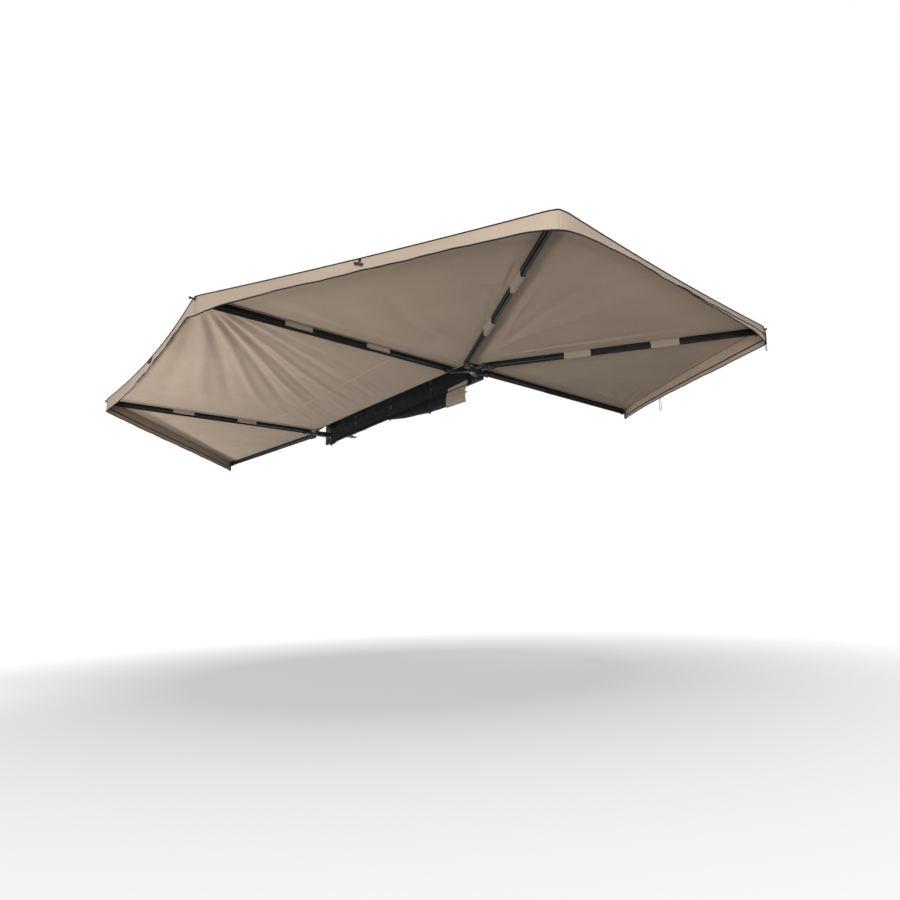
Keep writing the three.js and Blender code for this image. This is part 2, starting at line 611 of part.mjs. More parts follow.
function pivotPin(pivot) {
  const [z0, z1] = [pivot.level + SEAT_GAP, pivot.level + KNUCKLE_HEIGHT - SEAT_GAP];
  return union([
    rodZ(pivot.x, PIN_Y, PIN_RADIUS, z0, z1, PIN_SIDES),
    rodZ(pivot.x, PIN_Y, PIN_HEAD_RADIUS, z0, z0 + PIN_HEAD_HEIGHT, PIN_SIDES),
    rodZ(pivot.x, PIN_Y, PIN_HEAD_RADIUS, z1 - PIN_HEAD_HEIGHT, z1, PIN_SIDES),
  ]);
}

// The rear plates leave by the narrow free sector between the last arm deployed and the first
// arm folded
const WEB_Y = SEAT_GAP + FLANGE_THICKNESS - PIN_TO_RAIL;
const rearWebMiddle = (REAR_WEB[0] + REAR_WEB[1]) / 2;
const rearSpan = new THREE.Vector2(rearWebMiddle, WEB_Y).normalize().multiplyScalar(RING_RADIUS);
const rearPlate = [
  [-rearSpan.y, rearSpan.x], [rearSpan.y, -rearSpan.x], REAR_PLATE_INSIDE,
  [REAR_WEB[0], WEB_Y], [REAR_WEB[0], WEB_Y - FLANGE_THICKNESS],
  [REAR_WEB[1], WEB_Y - FLANGE_THICKNESS], [REAR_WEB[1], WEB_Y],
];
const frontPlate = [
  [-RING_RADIUS, 0], [-FRONT_WEB_HALF, WEB_Y - FLANGE_THICKNESS],
  [FRONT_WEB_HALF, WEB_Y - FLANGE_THICKNESS], [RING_RADIUS, 0],
];
const bothWays = (half) => [-half, half];
const frontWeb = bothWays(FRONT_WEB_HALF);
const frontFlange = bothWays(FRONT_FLANGE_HALF);
const rearKnuckle = knuckle(REAR, rearPlate, REAR_WEB, PIN_Y + WEB_Y, REAR_FLANGE, REAR_FLANGE_Z);
const frontKnuckle = knuckle(FRONT, frontPlate, frontWeb, PIN_Y - WEB_TO_PIN, frontFlange, FRONT_FLANGE_Z);
addTo(awning, 'rear_knuckle', rearKnuckle, FITTING_BLACK);
addTo(awning, 'front_knuckle', frontKnuckle, FITTING_BLACK);
addTo(awning, 'rear_pivot_pin', pivotPin(REAR), STEEL);
addTo(awning, 'front_pivot_pin', pivotPin(FRONT), STEEL);

// Rail: a tall extrusion with two chambers, bolt grooves and a canvas track along its top
const RAIL_MIDDLE_Z = RAIL_HEIGHT / 2;
const chambers = [
  [RAIL_WALL, RAIL_MIDDLE_Z - RAIL_WALL / 2],
  [RAIL_MIDDLE_Z + RAIL_WALL / 2, RAIL_HEIGHT - TRACK_DEPTH - RAIL_WALL],
].map(([z0, z1]) => [
  [RAIL_BACK_Y + RAIL_WALL, z0], [RAIL_FACE_Y - RAIL_WALL, z0],
  [RAIL_FACE_Y - RAIL_WALL, z1], [RAIL_BACK_Y + RAIL_WALL, z1],
]);
const railOutline = chamfered(RAIL_BACK_Y, RAIL_FACE_Y, 0, RAIL_HEIGHT, RAIL_CHAMFER);
const trackY = (RAIL_BACK_Y + RAIL_FACE_Y) / 2;
const rail = cut(tubeAlongX(railOutline, chambers, RAIL_REAR_X, RAIL_FRONT_X), [
  box(RAIL_REAR_X - OVERRUN, RAIL_FRONT_X + OVERRUN, trackY - TRACK_WIDTH / 2, trackY + TRACK_WIDTH / 2,
    RAIL_HEIGHT - TRACK_DEPTH, RAIL_HEIGHT + OVERRUN),
]);
addTo(awning, 'back_rail', rail, ARM_BLACK);

function railCap(x, side) {
  const inner = x + side * SEAT_GAP;
  const outer = inner + side * CAP_THICKNESS;
  const plug = x - side * CAP_PLUG;
  const slab = (a, b, section) => barAlongX(section, Math.min(a, b), Math.max(a, b));
  const plugOutline = chambers[0].map(([y, z]) => [
    THREE.MathUtils.clamp(y, RAIL_BACK_Y + RAIL_WALL + SEAT_GAP, RAIL_FACE_Y - RAIL_WALL - SEAT_GAP),
    THREE.MathUtils.clamp(z, RAIL_WALL + SEAT_GAP, RAIL_MIDDLE_Z - RAIL_WALL / 2 - SEAT_GAP),
  ]);
  return union([slab(inner, outer, railOutline), slab(plug, outer, plugOutline)]);
}
addTo(awning, 'rail_cap_rear', railCap(RAIL_REAR_X, -1), FITTING_BLACK);
addTo(awning, 'rail_cap_front', railCap(RAIL_FRONT_X, 1), FITTING_BLACK);

// Rack brackets: an upright plate on the rail's back, a foot on the rack's bar, two gussets
function rackBracket(x) {
  const half = BRACKET_WIDTH / 2;
  const outer = RAIL_BACK_Y - SEAT_GAP;
  const inner = -outer;
  const gussetOuter = outer - BRACKET_PLATE / 2;
  const gusset = barAlongX([
    [inner + SLOT_LENGTH / 2, BRACKET_PLATE],
    [gussetOuter, BRACKET_PLATE],
    [gussetOuter, BRACKET_GUSSET_HEIGHT],
  ], x - BRACKET_PLATE / 2, x + BRACKET_PLATE / 2);
  const body = union([
    box(x - half, x + half, inner, outer, 0, BRACKET_PLATE),
    box(x - half, x + half, outer - BRACKET_PLATE, outer, 0, BRACKET_HEIGHT),
    gusset,
  ]);
  const slots = [-1, 1].map((side) => {
    const middle = x + side * SLOT_SPACING / 2;
    return box(middle - SLOT_WIDTH / 2, middle + SLOT_WIDTH / 2, -SLOT_LENGTH / 2, SLOT_LENGTH / 2,
      -OVERRUN, BRACKET_PLATE + OVERRUN);
  });
  return cut(body, slots);
}
addTo(awning, 'rack_bracket_rear', rackBracket(-BRACKET_SPACING), FITTING_BLACK);
addTo(awning, 'rack_bracket_middle', rackBracket(0), FITTING_BLACK);
addTo(awning, 'rack_bracket_front', rackBracket(BRACKET_SPACING), FITTING_BLACK);

// Travel bag: hangs open on the rail's front face, flat behind the folded arms, with a slack
// lower edge that bulges outboard below them
function bagColumn(x, dropShare) {
  const back = RAIL_FACE_Y + SEAT_GAP + BAG_THICKNESS;
  const drop = BAG_DROP * dropShare;
  const bulge = BAG_BULGE * THREE.MathUtils.lerp(BAG_LEAST_BULGE_SHARE, 1, dropShare);
  return [
    new THREE.Vector3(x, back, BAG_TOP_Z),
    new THREE.Vector3(x, back, BAG_BULGE_TOP_Z),
    ...BAG_COLUMN_SHARES.map(([down, out]) =>
      new THREE.Vector3(x, back + bulge * out, BAG_BULGE_TOP_Z - drop * down)),
  ];
}

function hangingSheet(stations, thickness) {
  const rowCount = stations[0].length;
  const rows = Array.from({ length: rowCount }, (_, r) => stations.map((station) => station[r]));
  return sheetSolid(rows, thickness);
}

const bagStations = BAG_STATION_SHARES.map((share, i) =>
  bagColumn(THREE.MathUtils.lerp(BAG_REAR_X, BAG_FRONT_X, share), BAG_DROP_SHARES[i]));
addTo(awning, 'travel_bag', hangingSheet(bagStations, BAG_THICKNESS), BAG_BLACK);

function bagDropAt(x) {
  const share = THREE.MathUtils.clamp((x - BAG_REAR_X) / (BAG_FRONT_X - BAG_REAR_X), 0, 1);
  const i = Math.max(1, BAG_STATION_SHARES.findIndex((value) => value >= share));
  const [a, b] = [BAG_STATION_SHARES[i - 1], BAG_STATION_SHARES[i]];
  return THREE.MathUtils.lerp(BAG_DROP_SHARES[i - 1], BAG_DROP_SHARES[i], (share - a) / (b - a));
}

// The bag's outer surface in one upright plane, lifted along its own normals
function overBag(x, lift) {
  const column = bagColumn(x, bagDropAt(x));
  const normals = column.slice(1).map((point, i) => {
    const step = new THREE.Vector3().subVectors(point, column[i]);
    return new THREE.Vector3(0, -step.z, step.y).normalize();
  });
  return column.map((point, i) => {
    const [above, below] = [normals[Math.max(0, i - 1)], normals[Math.min(normals.length - 1, i)]];
    const miter = above.clone().add(below).normalize();
    return point.clone().addScaledVector(miter, lift / miter.dot(above));
  });
}

// Bag straps, each with a buckle above and one below the folded arms' top
function bagStrap(x) {
  const stations = [x - STRAP_WIDTH / 2, x + STRAP_WIDTH / 2].map((sx) => {
    const route = overBag(sx, STRAP_THICKNESS + STRAP_GAP);
    return [route[0].setZ(BAG_TOP_Z - STRAP_TOP_INSET), ...route.slice(1)];
  });
  const face = stations[0][0].y;
  const buckles = BUCKLE_HEIGHT_SHARES.map((share) => {
    const middle = RAIL_HEIGHT * share;
    return box(x - BUCKLE_WIDTH / 2, x + BUCKLE_WIDTH / 2, face - STRAP_THICKNESS / 2, face + BUCKLE_DEPTH,
      middle - BUCKLE_HEIGHT / 2, middle + BUCKLE_HEIGHT / 2);
  });
  return union([hangingSheet(stations, STRAP_THICKNESS), ...buckles]);
}
STRAP_PLACES.forEach((x, i) => addTo(awning, `bag_strap_${i + 1}`, bagStrap(x), WEBBING_BLACK));

// Tan flap over the bag's rear end, reaching below the bag
function flapColumn(x) {
  const route = overBag(x, FLAP_THICKNESS + STRAP_GAP);
  const last = route[route.length - 1];
  return [route[0].setZ(FLAP_TOP_Z), ...route.slice(1), last.clone().setZ(FLAP_BOTTOM_Z)];
}
const flapStations = [FLAP_REAR_X, BAG_REAR_X, FLAP_FRONT_X].map(flapColumn);
addTo(awning, 'end_flap', hangingSheet(flapStations, FLAP_THICKNESS), CANVAS_TAN);

// Hanging cord loops, each a U of thin cord below what carries it
function cordLoop(top, along, width, drop) {
  const half = width / 2;
  const straight = drop - half;
  const at = ([out, down]) => top.clone().addScaledVector(along, out).add(new THREE.Vector3(0, 0, -down));
  const left = [
    ...CORD_SIDE_SHARES.map(([out, down]) => [-half * out, straight * down]),
    ...CORD_ARC_DEGREES.map(THREE.MathUtils.degToRad)
      .map((turn) => [-half * Math.cos(turn), straight + half * Math.sin(turn)]),
  ];
  const right = left.map(([out, down]) => [-out, down]).reverse();
  const path = new THREE.CatmullRomCurve3([...left, [0, drop], ...right].map(at));
  const section = new THREE.Shape();
  section.absarc(0, 0, CORD_DIAMETER / 2, 0, 2 * Math.PI);
  const steps = Math.round(path.getLength() / CORD_STEP);
  return toManifold(new THREE.ExtrudeGeometry(section, {
    curveSegments: CORD_SIDES, steps, extrudePath: path, bevelEnabled: false,
  }));
}

// One hangs from the hem at the rear corner, one from the hem beside the last arm
function hemCord(later, earlier, depths, column, width, drop) {
  const edge = panelRow(seamPoint(later, REACH, -1), seamPoint(earlier, REACH, 1), -FAN_BOW);
  const hem = valanceRows(edge, depths)[1];
  const along = new THREE.Vector3().subVectors(hem[column + 1], hem[column]).normalize();
  const top = hem[column].clone().addScaledVector(along, width / 2);
  top.z -= CORD_HANG;
  return cordLoop(top, along, width, drop);
}
const cornerCord = hemCord(arm5, arm4, REAR_FAN_DEPTHS, 0, CORNER_CORD_WIDTH, CORNER_CORD_DROP);
const sideCord = hemCord(arm6, arm5, FAR_FAN_DEPTHS, HEM_CORD_COLUMN, HEM_CORD_WIDTH, HEM_CORD_DROP);
addTo(awning, 'corner_cord_loop', cornerCord, WEBBING_BLACK);
addTo(awning, 'hem_cord_loop', sideCord, WEBBING_BLACK);

export default awning;
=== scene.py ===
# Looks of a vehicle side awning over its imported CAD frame, deployed with the legs stowed.
# Metres. +X forward along the rail, +Y outboard, +Z up, as in the CAD.
import math
from collections import namedtuple

import bpy
import numpy as np
from mathutils import Matrix, Vector


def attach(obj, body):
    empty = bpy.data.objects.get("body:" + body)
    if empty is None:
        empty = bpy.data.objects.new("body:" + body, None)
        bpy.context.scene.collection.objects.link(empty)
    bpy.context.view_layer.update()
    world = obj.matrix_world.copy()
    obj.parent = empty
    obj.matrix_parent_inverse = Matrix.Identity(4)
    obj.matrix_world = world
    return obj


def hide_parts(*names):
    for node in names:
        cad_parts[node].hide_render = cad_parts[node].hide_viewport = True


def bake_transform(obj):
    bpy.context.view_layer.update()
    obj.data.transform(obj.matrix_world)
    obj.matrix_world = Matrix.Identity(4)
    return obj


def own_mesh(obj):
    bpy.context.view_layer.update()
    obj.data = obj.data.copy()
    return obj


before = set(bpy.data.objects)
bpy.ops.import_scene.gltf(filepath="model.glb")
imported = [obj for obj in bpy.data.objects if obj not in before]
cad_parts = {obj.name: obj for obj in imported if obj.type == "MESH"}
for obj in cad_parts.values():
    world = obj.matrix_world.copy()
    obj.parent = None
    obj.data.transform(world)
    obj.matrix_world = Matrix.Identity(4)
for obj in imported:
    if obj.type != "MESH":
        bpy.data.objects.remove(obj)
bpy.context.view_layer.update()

# Driving dimensions, as in the CAD
REAR_PIN_X = -1.270
FRONT_PIN_X = 1.280
PIN_Y = 0.195
REACH = 2.050
REAR_LEVEL = 0.020
FRONT_LEVEL = 0.072
LANE_PITCH = 0.033

# Arm section, from the leg's underside up
LEG_RADIUS = 0.0095
BEAM_HALF = 0.015
BEAM_BOTTOM = 0.0205
BEAM_TOP = 0.0475
BEAM_MIDDLE = (BEAM_BOTTOM + BEAM_TOP) / 2
BLOCK_START = 0.090
BEAM_START = 0.125
BEAM_END = 1.985
TIP_END = 2.030
HINGE_S = 2.012
FOOT_S = 0.131
FOOT_LENGTH = 0.040
PEG_RADIUS = 0.005
PEG_ENDS = {1: 2.060, 2: 2.060, 3: 2.080, 5: 2.060, 6: 2.080}

# Canvas
CANVAS_TOP = 0.0506
CLOTH = 0.0012
PANEL_GAP = 0.0006
SEAM_START = 0.060
SEAM_JOIN = 0.150
FAN_BOW = 0.020
SIDE_BOW = 0.050
VALANCE_FLARE = 0.008
FOLD_RADIUS = 0.005

# The valance's depth at these shares of a panel's width, from its first seam to its last
VALANCE_STATION_SHARES = (0, 0.08, 0.25, 0.5, 0.75, 0.92, 1)
FRONT_FAN_DEPTHS = (0.104, 0.108, 0.112, 0.107, 0.104, 0.102, 0.101)
SIDE_PANEL_DEPTHS = (0.118, 0.056, 0.058, 0.078, 0.110, 0.108, 0.104)
SIDE_FAN_DEPTHS = (0.105, 0.081, 0.074, 0.075, 0.077, 0.091, 0.118)
REAR_FAN_DEPTHS = (0.119, 0.072, 0.060, 0.047, 0.043, 0.072, 0.105)
FAR_FAN_DEPTHS = (0.082, 0.079, 0.076, 0.089, 0.107, 0.114, 0.119)

# Rail and knuckles
RAIL_REAR_X = -1.235
RAIL_FRONT_X = 1.350
RAIL_FACE_Y = 0.0707
RAIL_BACK_Y = 0.0457
RAIL_CANVAS_Z = 0.2118
RAIL_CANVAS_OVERRUN = 0.005
KNUCKLE_HEIGHT = 0.0465
FLANGE_FACE_Y = 0.077
BRACKET_SPACING = 0.900
BRACKET_PLATE = 0.005
BRACKET_SLOT_SIDE = 0.01725

# Loops round the arms
LOOP_LENGTH = 0.190
LOOP_PLACES = (0.7052, 1.30995)
LOOP_OUTSIDE = 0.01615
LOOP_CLOTH = 0.0008
LOOP_TOP = 0.04865
LOOP_LOW = {"beam": 0.01935, "leg": -0.00115}

# Bag, straps and end flap
BAG_REAR_X = -1.060
BAG_FRONT_X = 1.205
BAG_OUTER_Y = 0.0730
BAG_TOP_Z = 0.195
BAG_BULGE_TOP_Z = 0.012
BAG_BULGE = 0.026
BAG_LEAST_BULGE_SHARE = 0.5
BAG_DROP = 0.150
BAG_STATION_SHARES = (0, 0.1, 0.22, 0.31, 0.39, 0.5, 0.65, 0.9, 1)
BAG_DROP_SHARES = (0.98, 0.87, 0.85, 0.67, 0.49, 0.22, 0.19, 0.18, 0.32)
BAG_COLUMN_SHARES = ((0.25, 0.45), (0.55, 0.9), (0.85, 1), (1, 0.75))
STRAP_PLACES = (0.690, 0.040, -0.592)
STRAP_WIDTH = 0.026
STRAP_TOP_Z = 0.181
BUCKLE_HEIGHTS = (0.0945, 0.1638)
FLAP_REAR_X = -1.078
FLAP_FRONT_X = -0.826
FLAP_TOPS = (0.042, 0.034)
FLAP_BOTTOMS = (-0.146, -0.134)
FLAP_LIFT = 0.0026
FLAP_LINE_SHARE = 0.21

# Hanging cord loops
CORD_DIAMETER = 0.004
CORD_HANG = 0.0012
CORNER_CORD_DROP = 0.056
CORNER_CORD_WIDTH = 0.032
HEM_CORD_DROP = 0.112
HEM_CORD_WIDTH = 0.030
HEM_CORD_SHARE = 0.3125

FLOOR_Z = -2.135
UP = np.array([0.0, 0.0, 1.0])

Arm = namedtuple("Arm", "number pivot_x level degrees lane loops")
ARMS = {
    1: Arm(1, FRONT_PIN_X, FRONT_LEVEL, 7, -LANE_PITCH / 2, None),
    2: Arm(2, FRONT_PIN_X, FRONT_LEVEL, 91, LANE_PITCH / 2, "beam"),
    3: Arm(3, REAR_PIN_X, REAR_LEVEL, 93, -3 * LANE_PITCH, "beam"),
    4: Arm(4, REAR_PIN_X, REAR_LEVEL, 153, -2 * LANE_PITCH, "leg"),
    5: Arm(5, REAR_PIN_X, REAR_LEVEL, 216, -LANE_PITCH, "leg"),
    6: Arm(6, REAR_PIN_X, REAR_LEVEL, 273, 0.0, None),
}


def body(arm):
    return f"arm_{arm.number}"


def along(arm):
    angle = math.radians(arm.degrees)
    return np.array([math.cos(angle), math.sin(angle), 0.0])


def across(arm):
    return np.cross(UP, along(arm))


def pin(arm):
    return np.array([arm.pivot_x, PIN_Y, arm.level])


def on_arm(arm, s, side=0.0, up=0.0):
    """A point s from the pin, beside the arm's centre line and above its level."""
    return pin(arm) + along(arm) * s + across(arm) * (arm.lane + side) + UP * up


def seam_point(arm, s, side):
    """A point of the canvas seam over an arm; the seams close in on the pin."""
    lateral = arm.lane * min(1.0, s / SEAM_JOIN) + side * PANEL_GAP / 2
    return pin(arm) + along(arm) * s + across(arm) * lateral + UP * CANVAS_TOP


# Camera, solved from the photographed corners and pivots
CAMERA_PLACE = Vector((-4.7207, 3.1833, -1.6065))
CAMERA_DEGREES = (-38.58, 12.688, -1.865)
CAMERA_LENS = 25.2
CAMERA_SENSOR = 36.0
CAMERA_CLIP = (0.05, 200.0)


def add_object(name, data):
    piece = bpy.data.objects.new(name, data)
    bpy.context.scene.collection.objects.link(piece)
    return piece


def make_camera():
    azimuth, elevation, roll = (math.radians(value) for value in CAMERA_DEGREES)
    ahead = Vector((
        math.cos(elevation) * math.cos(azimuth),
        math.cos(elevation) * math.sin(azimuth),
        math.sin(elevation),
    ))
    level = ahead.cross(Vector(UP)).normalized()
    upright = level.cross(ahead)
    right = level * math.cos(roll) + upright * math.sin(roll)
    up = upright * math.cos(roll) - level * math.sin(roll)
    data = bpy.data.cameras.new("camera")
    data.lens = CAMERA_LENS
    data.sensor_width = CAMERA_SENSOR
    data.clip_start, data.clip_end = CAMERA_CLIP
    camera = add_object("camera", data)
    turn = Matrix((right, up, -ahead)).transposed().to_4x4()
    camera.matrix_world = Matrix.Translation(CAMERA_PLACE) @ turn
    bpy.context.scene.camera = camera


make_camera()


# Mesh helpers
EDGE_SEGMENTS = 2
SPLIT_ANGLE = math.radians(38)
UPRIGHT = 0.9
TINY = 1e-6


def unit(vector):
    return vector / np.linalg.norm(vector)


def ripple(value, *waves):
    """A sum of sine waves of a value, each given by its height, rate and phase."""
    return sum(height * np.sin(rate * value + phase) for height, rate, phase in waves)


def smooth_step(value):
    value = np.clip(value, 0.0, 1.0)
    return value * value * (3 - 2 * value)


def add_mesh(name, points, faces, *materials, uv=None):
    """A smooth mesh object. uv holds, for each layer's name, a pair of metres for each point."""
    data = bpy.data.meshes.new(name)
    data.from_pydata(np.asarray(points, float).tolist(), [], [list(face) for face in faces])
    data.polygons.foreach_set("use_smooth", [True] * len(data.polygons))
    if uv is not None:
        corners = np.empty(len(data.loops), int)
        data.loops.foreach_get("vertex_index", corners)
        for layer, pairs in uv.items():
            data.uv_layers.new(name=layer).data.foreach_set("uv", np.asarray(pairs, float)[corners].ravel())
    for material in materials:
        data.materials.append(material)
    data.update()
    return add_object(name, data)


def grid_faces(rows, columns, wrap=False):
    """Faces that look along columns x rows."""
    last = columns if wrap else columns - 1
    return [
        (r * columns + c, r * columns + (c + 1) % columns,
         (r + 1) * columns + (c + 1) % columns, (r + 1) * columns + c)
        for r in range(rows - 1) for c in range(last)
    ]


def closed_faces(rows, sides):
    """Faces of a row of rings, with both its ends closed."""
    last_ring = tuple((rows - 1) * sides + i for i in range(sides))
    return grid_faces(rows, sides, wrap=True) + [tuple(range(sides))[::-1], last_ring]


def arc_lengths(points):
    steps = np.linalg.norm(np.diff(points, axis=0), axis=1)
    return np.concatenate([[0.0], np.cumsum(steps)])


def thicken(piece, thickness, inside_slot=0):
    """Gives a sheet its thickness, towards its inner face."""
    modifier = piece.modifiers.new("cloth", "SOLIDIFY")
    modifier.thickness = thickness
    modifier.offset = -1
    modifier.material_offset = inside_slot


def cloth(name, points, uv, thickness, *materials, turned=False):
    """A sheet through a grid of points. Its outer face has the first material and its inner face
    the last. turned is for a grid whose faces look inward."""
    faces = grid_faces(*points.shape[:2])
    if turned:
        faces = [face[::-1] for face in faces]
    piece = add_mesh(name, points.reshape(-1, 3), faces, *materials, uv=uv)
    thicken(piece, thickness, inside_slot=len(materials) - 1)
    return piece


def tube(name, path, sizes, material, sides=8, normals=None):
    """A closed-ended tube along a path; sizes are its half width and half height."""
    path = np.asarray(path, float)
    tangents = np.gradient(path, axis=0)
    tangents /= np.linalg.norm(tangents, axis=1)[:, None]
    ups = np.tile(UP, (len(path), 1)) if normals is None else np.asarray(normals, float)
    side = np.cross(tangents, ups)
    side /= np.linalg.norm(side, axis=1)[:, None]
    ups = np.cross(side, tangents)
    turns = np.linspace(0, 2 * math.pi, sides, endpoint=False)
    ring = [(math.cos(a) * sizes[0], math.sin(a) * sizes[1]) for a in turns]
    points = np.array([[p + u * a + v * b for a, b in ring] for p, u, v in zip(path, side, ups)])
    round_length = math.pi * (sizes[0] + sizes[1])
    uv = [(length, round_length * i / sides) for length in arc_lengths(path) for i in range(sides)]
    return add_mesh(name, points.reshape(-1, 3), closed_faces(len(path), sides), material, uv={"metres": uv})


def moving_frames(path, first_up):
    """Upright vectors carried along a path without twist."""
    path = np.asarray(path, float)
    tangents = np.gradient(path, axis=0)
    up = np.asarray(first_up, float)
    ups = []
    for tangent in map(unit, tangents):
        up = unit(up - tangent * (up @ tangent))
        ups.append(up)
    return ups


def lathe(name, profile, place, axis, material, sides=24):
    """A turned piece: profile is (radius, height) pairs from base to top."""
    axis = unit(np.asarray(axis, float))
    helper = UP if abs(axis[2]) < UPRIGHT else np.array([1.0, 0.0, 0.0])
    first = unit(np.cross(axis, helper))
    second = np.cross(axis, first)
    turns = np.linspace(0, 2 * math.pi, sides, endpoint=False)
    points = [
        np.asarray(place) + axis * height + (first * math.cos(a) + second * math.sin(a)) * radius
        for radius, height in profile for a in turns
    ]
    return add_mesh(name, points, closed_faces(len(profile), sides), material)


def block(name, centre, halves, material, edge):
    """An upright block with rounded edges; halves are its half sizes."""
    corners = [(a, b, c) for a in (-1, 1) for b in (-1, 1) for c in (-1, 1)]
    points = [np.asarray(centre) + np.asarray(halves) * signs for signs in corners]
    faces = [(0, 1, 3, 2), (4, 6, 7, 5), (0, 4, 5, 1), (2, 3, 7, 6), (0, 2, 6, 4), (1, 5, 7, 3)]
    piece = add_mesh(name, points, faces, material)
    modifier = piece.modifiers.new("edges", "BEVEL")
    modifier.width = edge
    modifier.segments = EDGE_SEGMENTS
    modifier.limit_method = "ANGLE"
    modifier.harden_normals = True
    return piece


def join(name, pieces):
    """Several pieces as one, with their modifiers applied."""
    depsgraph = bpy.context.evaluated_depsgraph_get()
    data = bpy.data.meshes.new(name)
    points, faces, slots, materials = [], [], [], []
    for piece in pieces:
        shown = bpy.data.meshes.new_from_object(piece.evaluated_get(depsgraph))
        start = len(points)
        points += [piece.matrix_world @ vertex.co for vertex in shown.vertices]
        for polygon in shown.polygons:
            faces.append([start + i for i in polygon.vertices])
            material = piece.data.materials[polygon.material_index]
            if material not in materials:
                materials.append(material)
            slots.append(materials.index(material))
        bpy.data.meshes.remove(shown)
        bpy.data.objects.remove(piece)
    data.from_pydata([tuple(p) for p in points], [], faces)
    for material in materials:
        data.materials.append(material)
    data.polygons.foreach_set("material_index", slots)
    data.polygons.foreach_set("use_smooth", [True] * len(faces))
    whole = add_object(name, data)
    whole.modifiers.new("angles", "EDGE_SPLIT").split_angle = SPLIT_ANGLE
    return whole


def fit(piece, body_name):
    """Gives a rigid piece the body it rides on."""
    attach(piece, body_name)
    return piece


# Material helpers
class Shade:
    """A procedural material, wired in short calls."""

    def __init__(self, name, roughness, metallic=0.0, sheen=0.0, specular=0.5):
        self.material = bpy.data.materials.new(name)
        self.material.use_nodes = True
        self.tree = self.material.node_tree
        self.shader = self.tree.nodes["Principled BSDF"]
        self.shader.inputs["Roughness"].default_value = roughness
        self.shader.inputs["Metallic"].default_value = metallic
        self.shader.inputs["Sheen Weight"].default_value = sheen
        self.shader.inputs["Specular IOR Level"].default_value = specular
        self.height = None
        self.coordinates = self.tree.nodes.new("ShaderNodeTexCoord").outputs["Object"]

    def node(self, kind, **settings):
        node = self.tree.nodes.new(f"ShaderNode{kind}")
        for name, value in settings.items():
            setattr(node, name, value)
        return node

    def put(self, value, socket):
        """Links an output to an input, or sets it."""
        if isinstance(value, bpy.types.NodeSocket):
            self.tree.links.new(value, socket)
        else:
            socket.default_value = value

    def feed(self, node, **inputs):
        """Sets or links a node's inputs by name."""
        for name, value in inputs.items():
            self.put(value, node.inputs[name])
        return node

    def noise(self, scale, detail, stretch=None):
        source = self.coordinates
        if stretch is not None:
            source = self.feed(self.node("Mapping"), Vector=source, Scale=stretch).outputs["Vector"]
        node = self.feed(self.node("TexNoise"), Vector=source, Scale=scale, Detail=detail)
        return node.outputs["Fac"]

    def ramp(self, value, stops):
        node = self.node("ValToRGB")
        elements = node.color_ramp.elements
        while len(elements) < len(stops):
            elements.new(0.5)
        for element, (position, colour) in zip(elements, stops):
            element.position = position
            element.color = (*colour, 1.0)
        self.tree.links.new(value, node.inputs["Fac"])
        return node.outputs["Color"]

    def spread(self, value, low, high, at=(0.3, 0.7)):
        """Maps a pattern's middle range to low and high."""
        node = self.node("MapRange")
        node.inputs["From Min"].default_value, node.inputs["From Max"].default_value = at
        node.inputs["To Min"].default_value, node.inputs["To Max"].default_value = low, high
        self.tree.links.new(value, node.inputs["Value"])
        return node.outputs["Result"]

    def maths(self, operation, first, second=0.0):
        node = self.node("Math", operation=operation)
        for value, socket in zip((first, second), node.inputs):
            self.put(value, socket)
        return node.outputs[0]

    def waves(self, length, pitch):
        """A sine wave of that pitch along a length."""
        return self.maths("SINE", self.maths("MULTIPLY", length, 2 * math.pi / pitch))

    def mixed(self, share, first, second):
        """A mix from the first colour to the second, which is three numbers."""
        node = self.node("Mix", data_type="RGBA")
        for value, index in ((share, 0), (first, 6), ((*second, 1.0), 7)):
            self.put(value, node.inputs[index])
        return node.outputs[2]

    def bump(self, value, distance, strength):
        node = self.feed(self.node("Bump"), Height=value, Distance=distance, Strength=strength)
        if self.height is not None:
            self.tree.links.new(self.height, node.inputs["Normal"])
        self.height = node.outputs["Normal"]
        self.tree.links.new(self.height, self.shader.inputs["Normal"])

    def weave(self, along_u, along_v, relief):
        """Raises threads along and across a cloth."""
        threads = self.maths("ADD", self.waves(along_u, THREAD_PITCH), self.waves(along_v, THREAD_PITCH))
        self.bump(threads, relief, 0.5)

    def colour(self, value):
        self.tree.links.new(value, self.shader.inputs["Base Color"])

    def rough(self, value):
        self.tree.links.new(value, self.shader.inputs["Roughness"])

    def uv(self, layer):
        return self.node("UVMap", uv_map=layer).outputs["UV"]

    def split(self, vector):
        return self.feed(self.node("SeparateXYZ"), Vector=vector).outputs

    def worn_edges(self, radius):
        """High along convex edges."""
        dot = self.node("VectorMath", operation="DOT_PRODUCT")
        self.put(self.feed(self.node("Bevel", samples=4), Radius=radius).outputs["Normal"], dot.inputs[0])
        self.put(self.node("NewGeometry").outputs["Normal"], dot.inputs[1])
        return self.spread(dot.outputs["Value"], 1.0, 0.0, at=(0.82, 0.97))

    def worn(self, base, radius, share, tint):
        """Gives a colour that wears to a tint along convex edges."""
        self.colour(self.mixed(self.maths("MULTIPLY", self.worn_edges(radius), share), base, tint))


def scaled(colour, factor):
    return tuple(channel * factor for channel in colour)
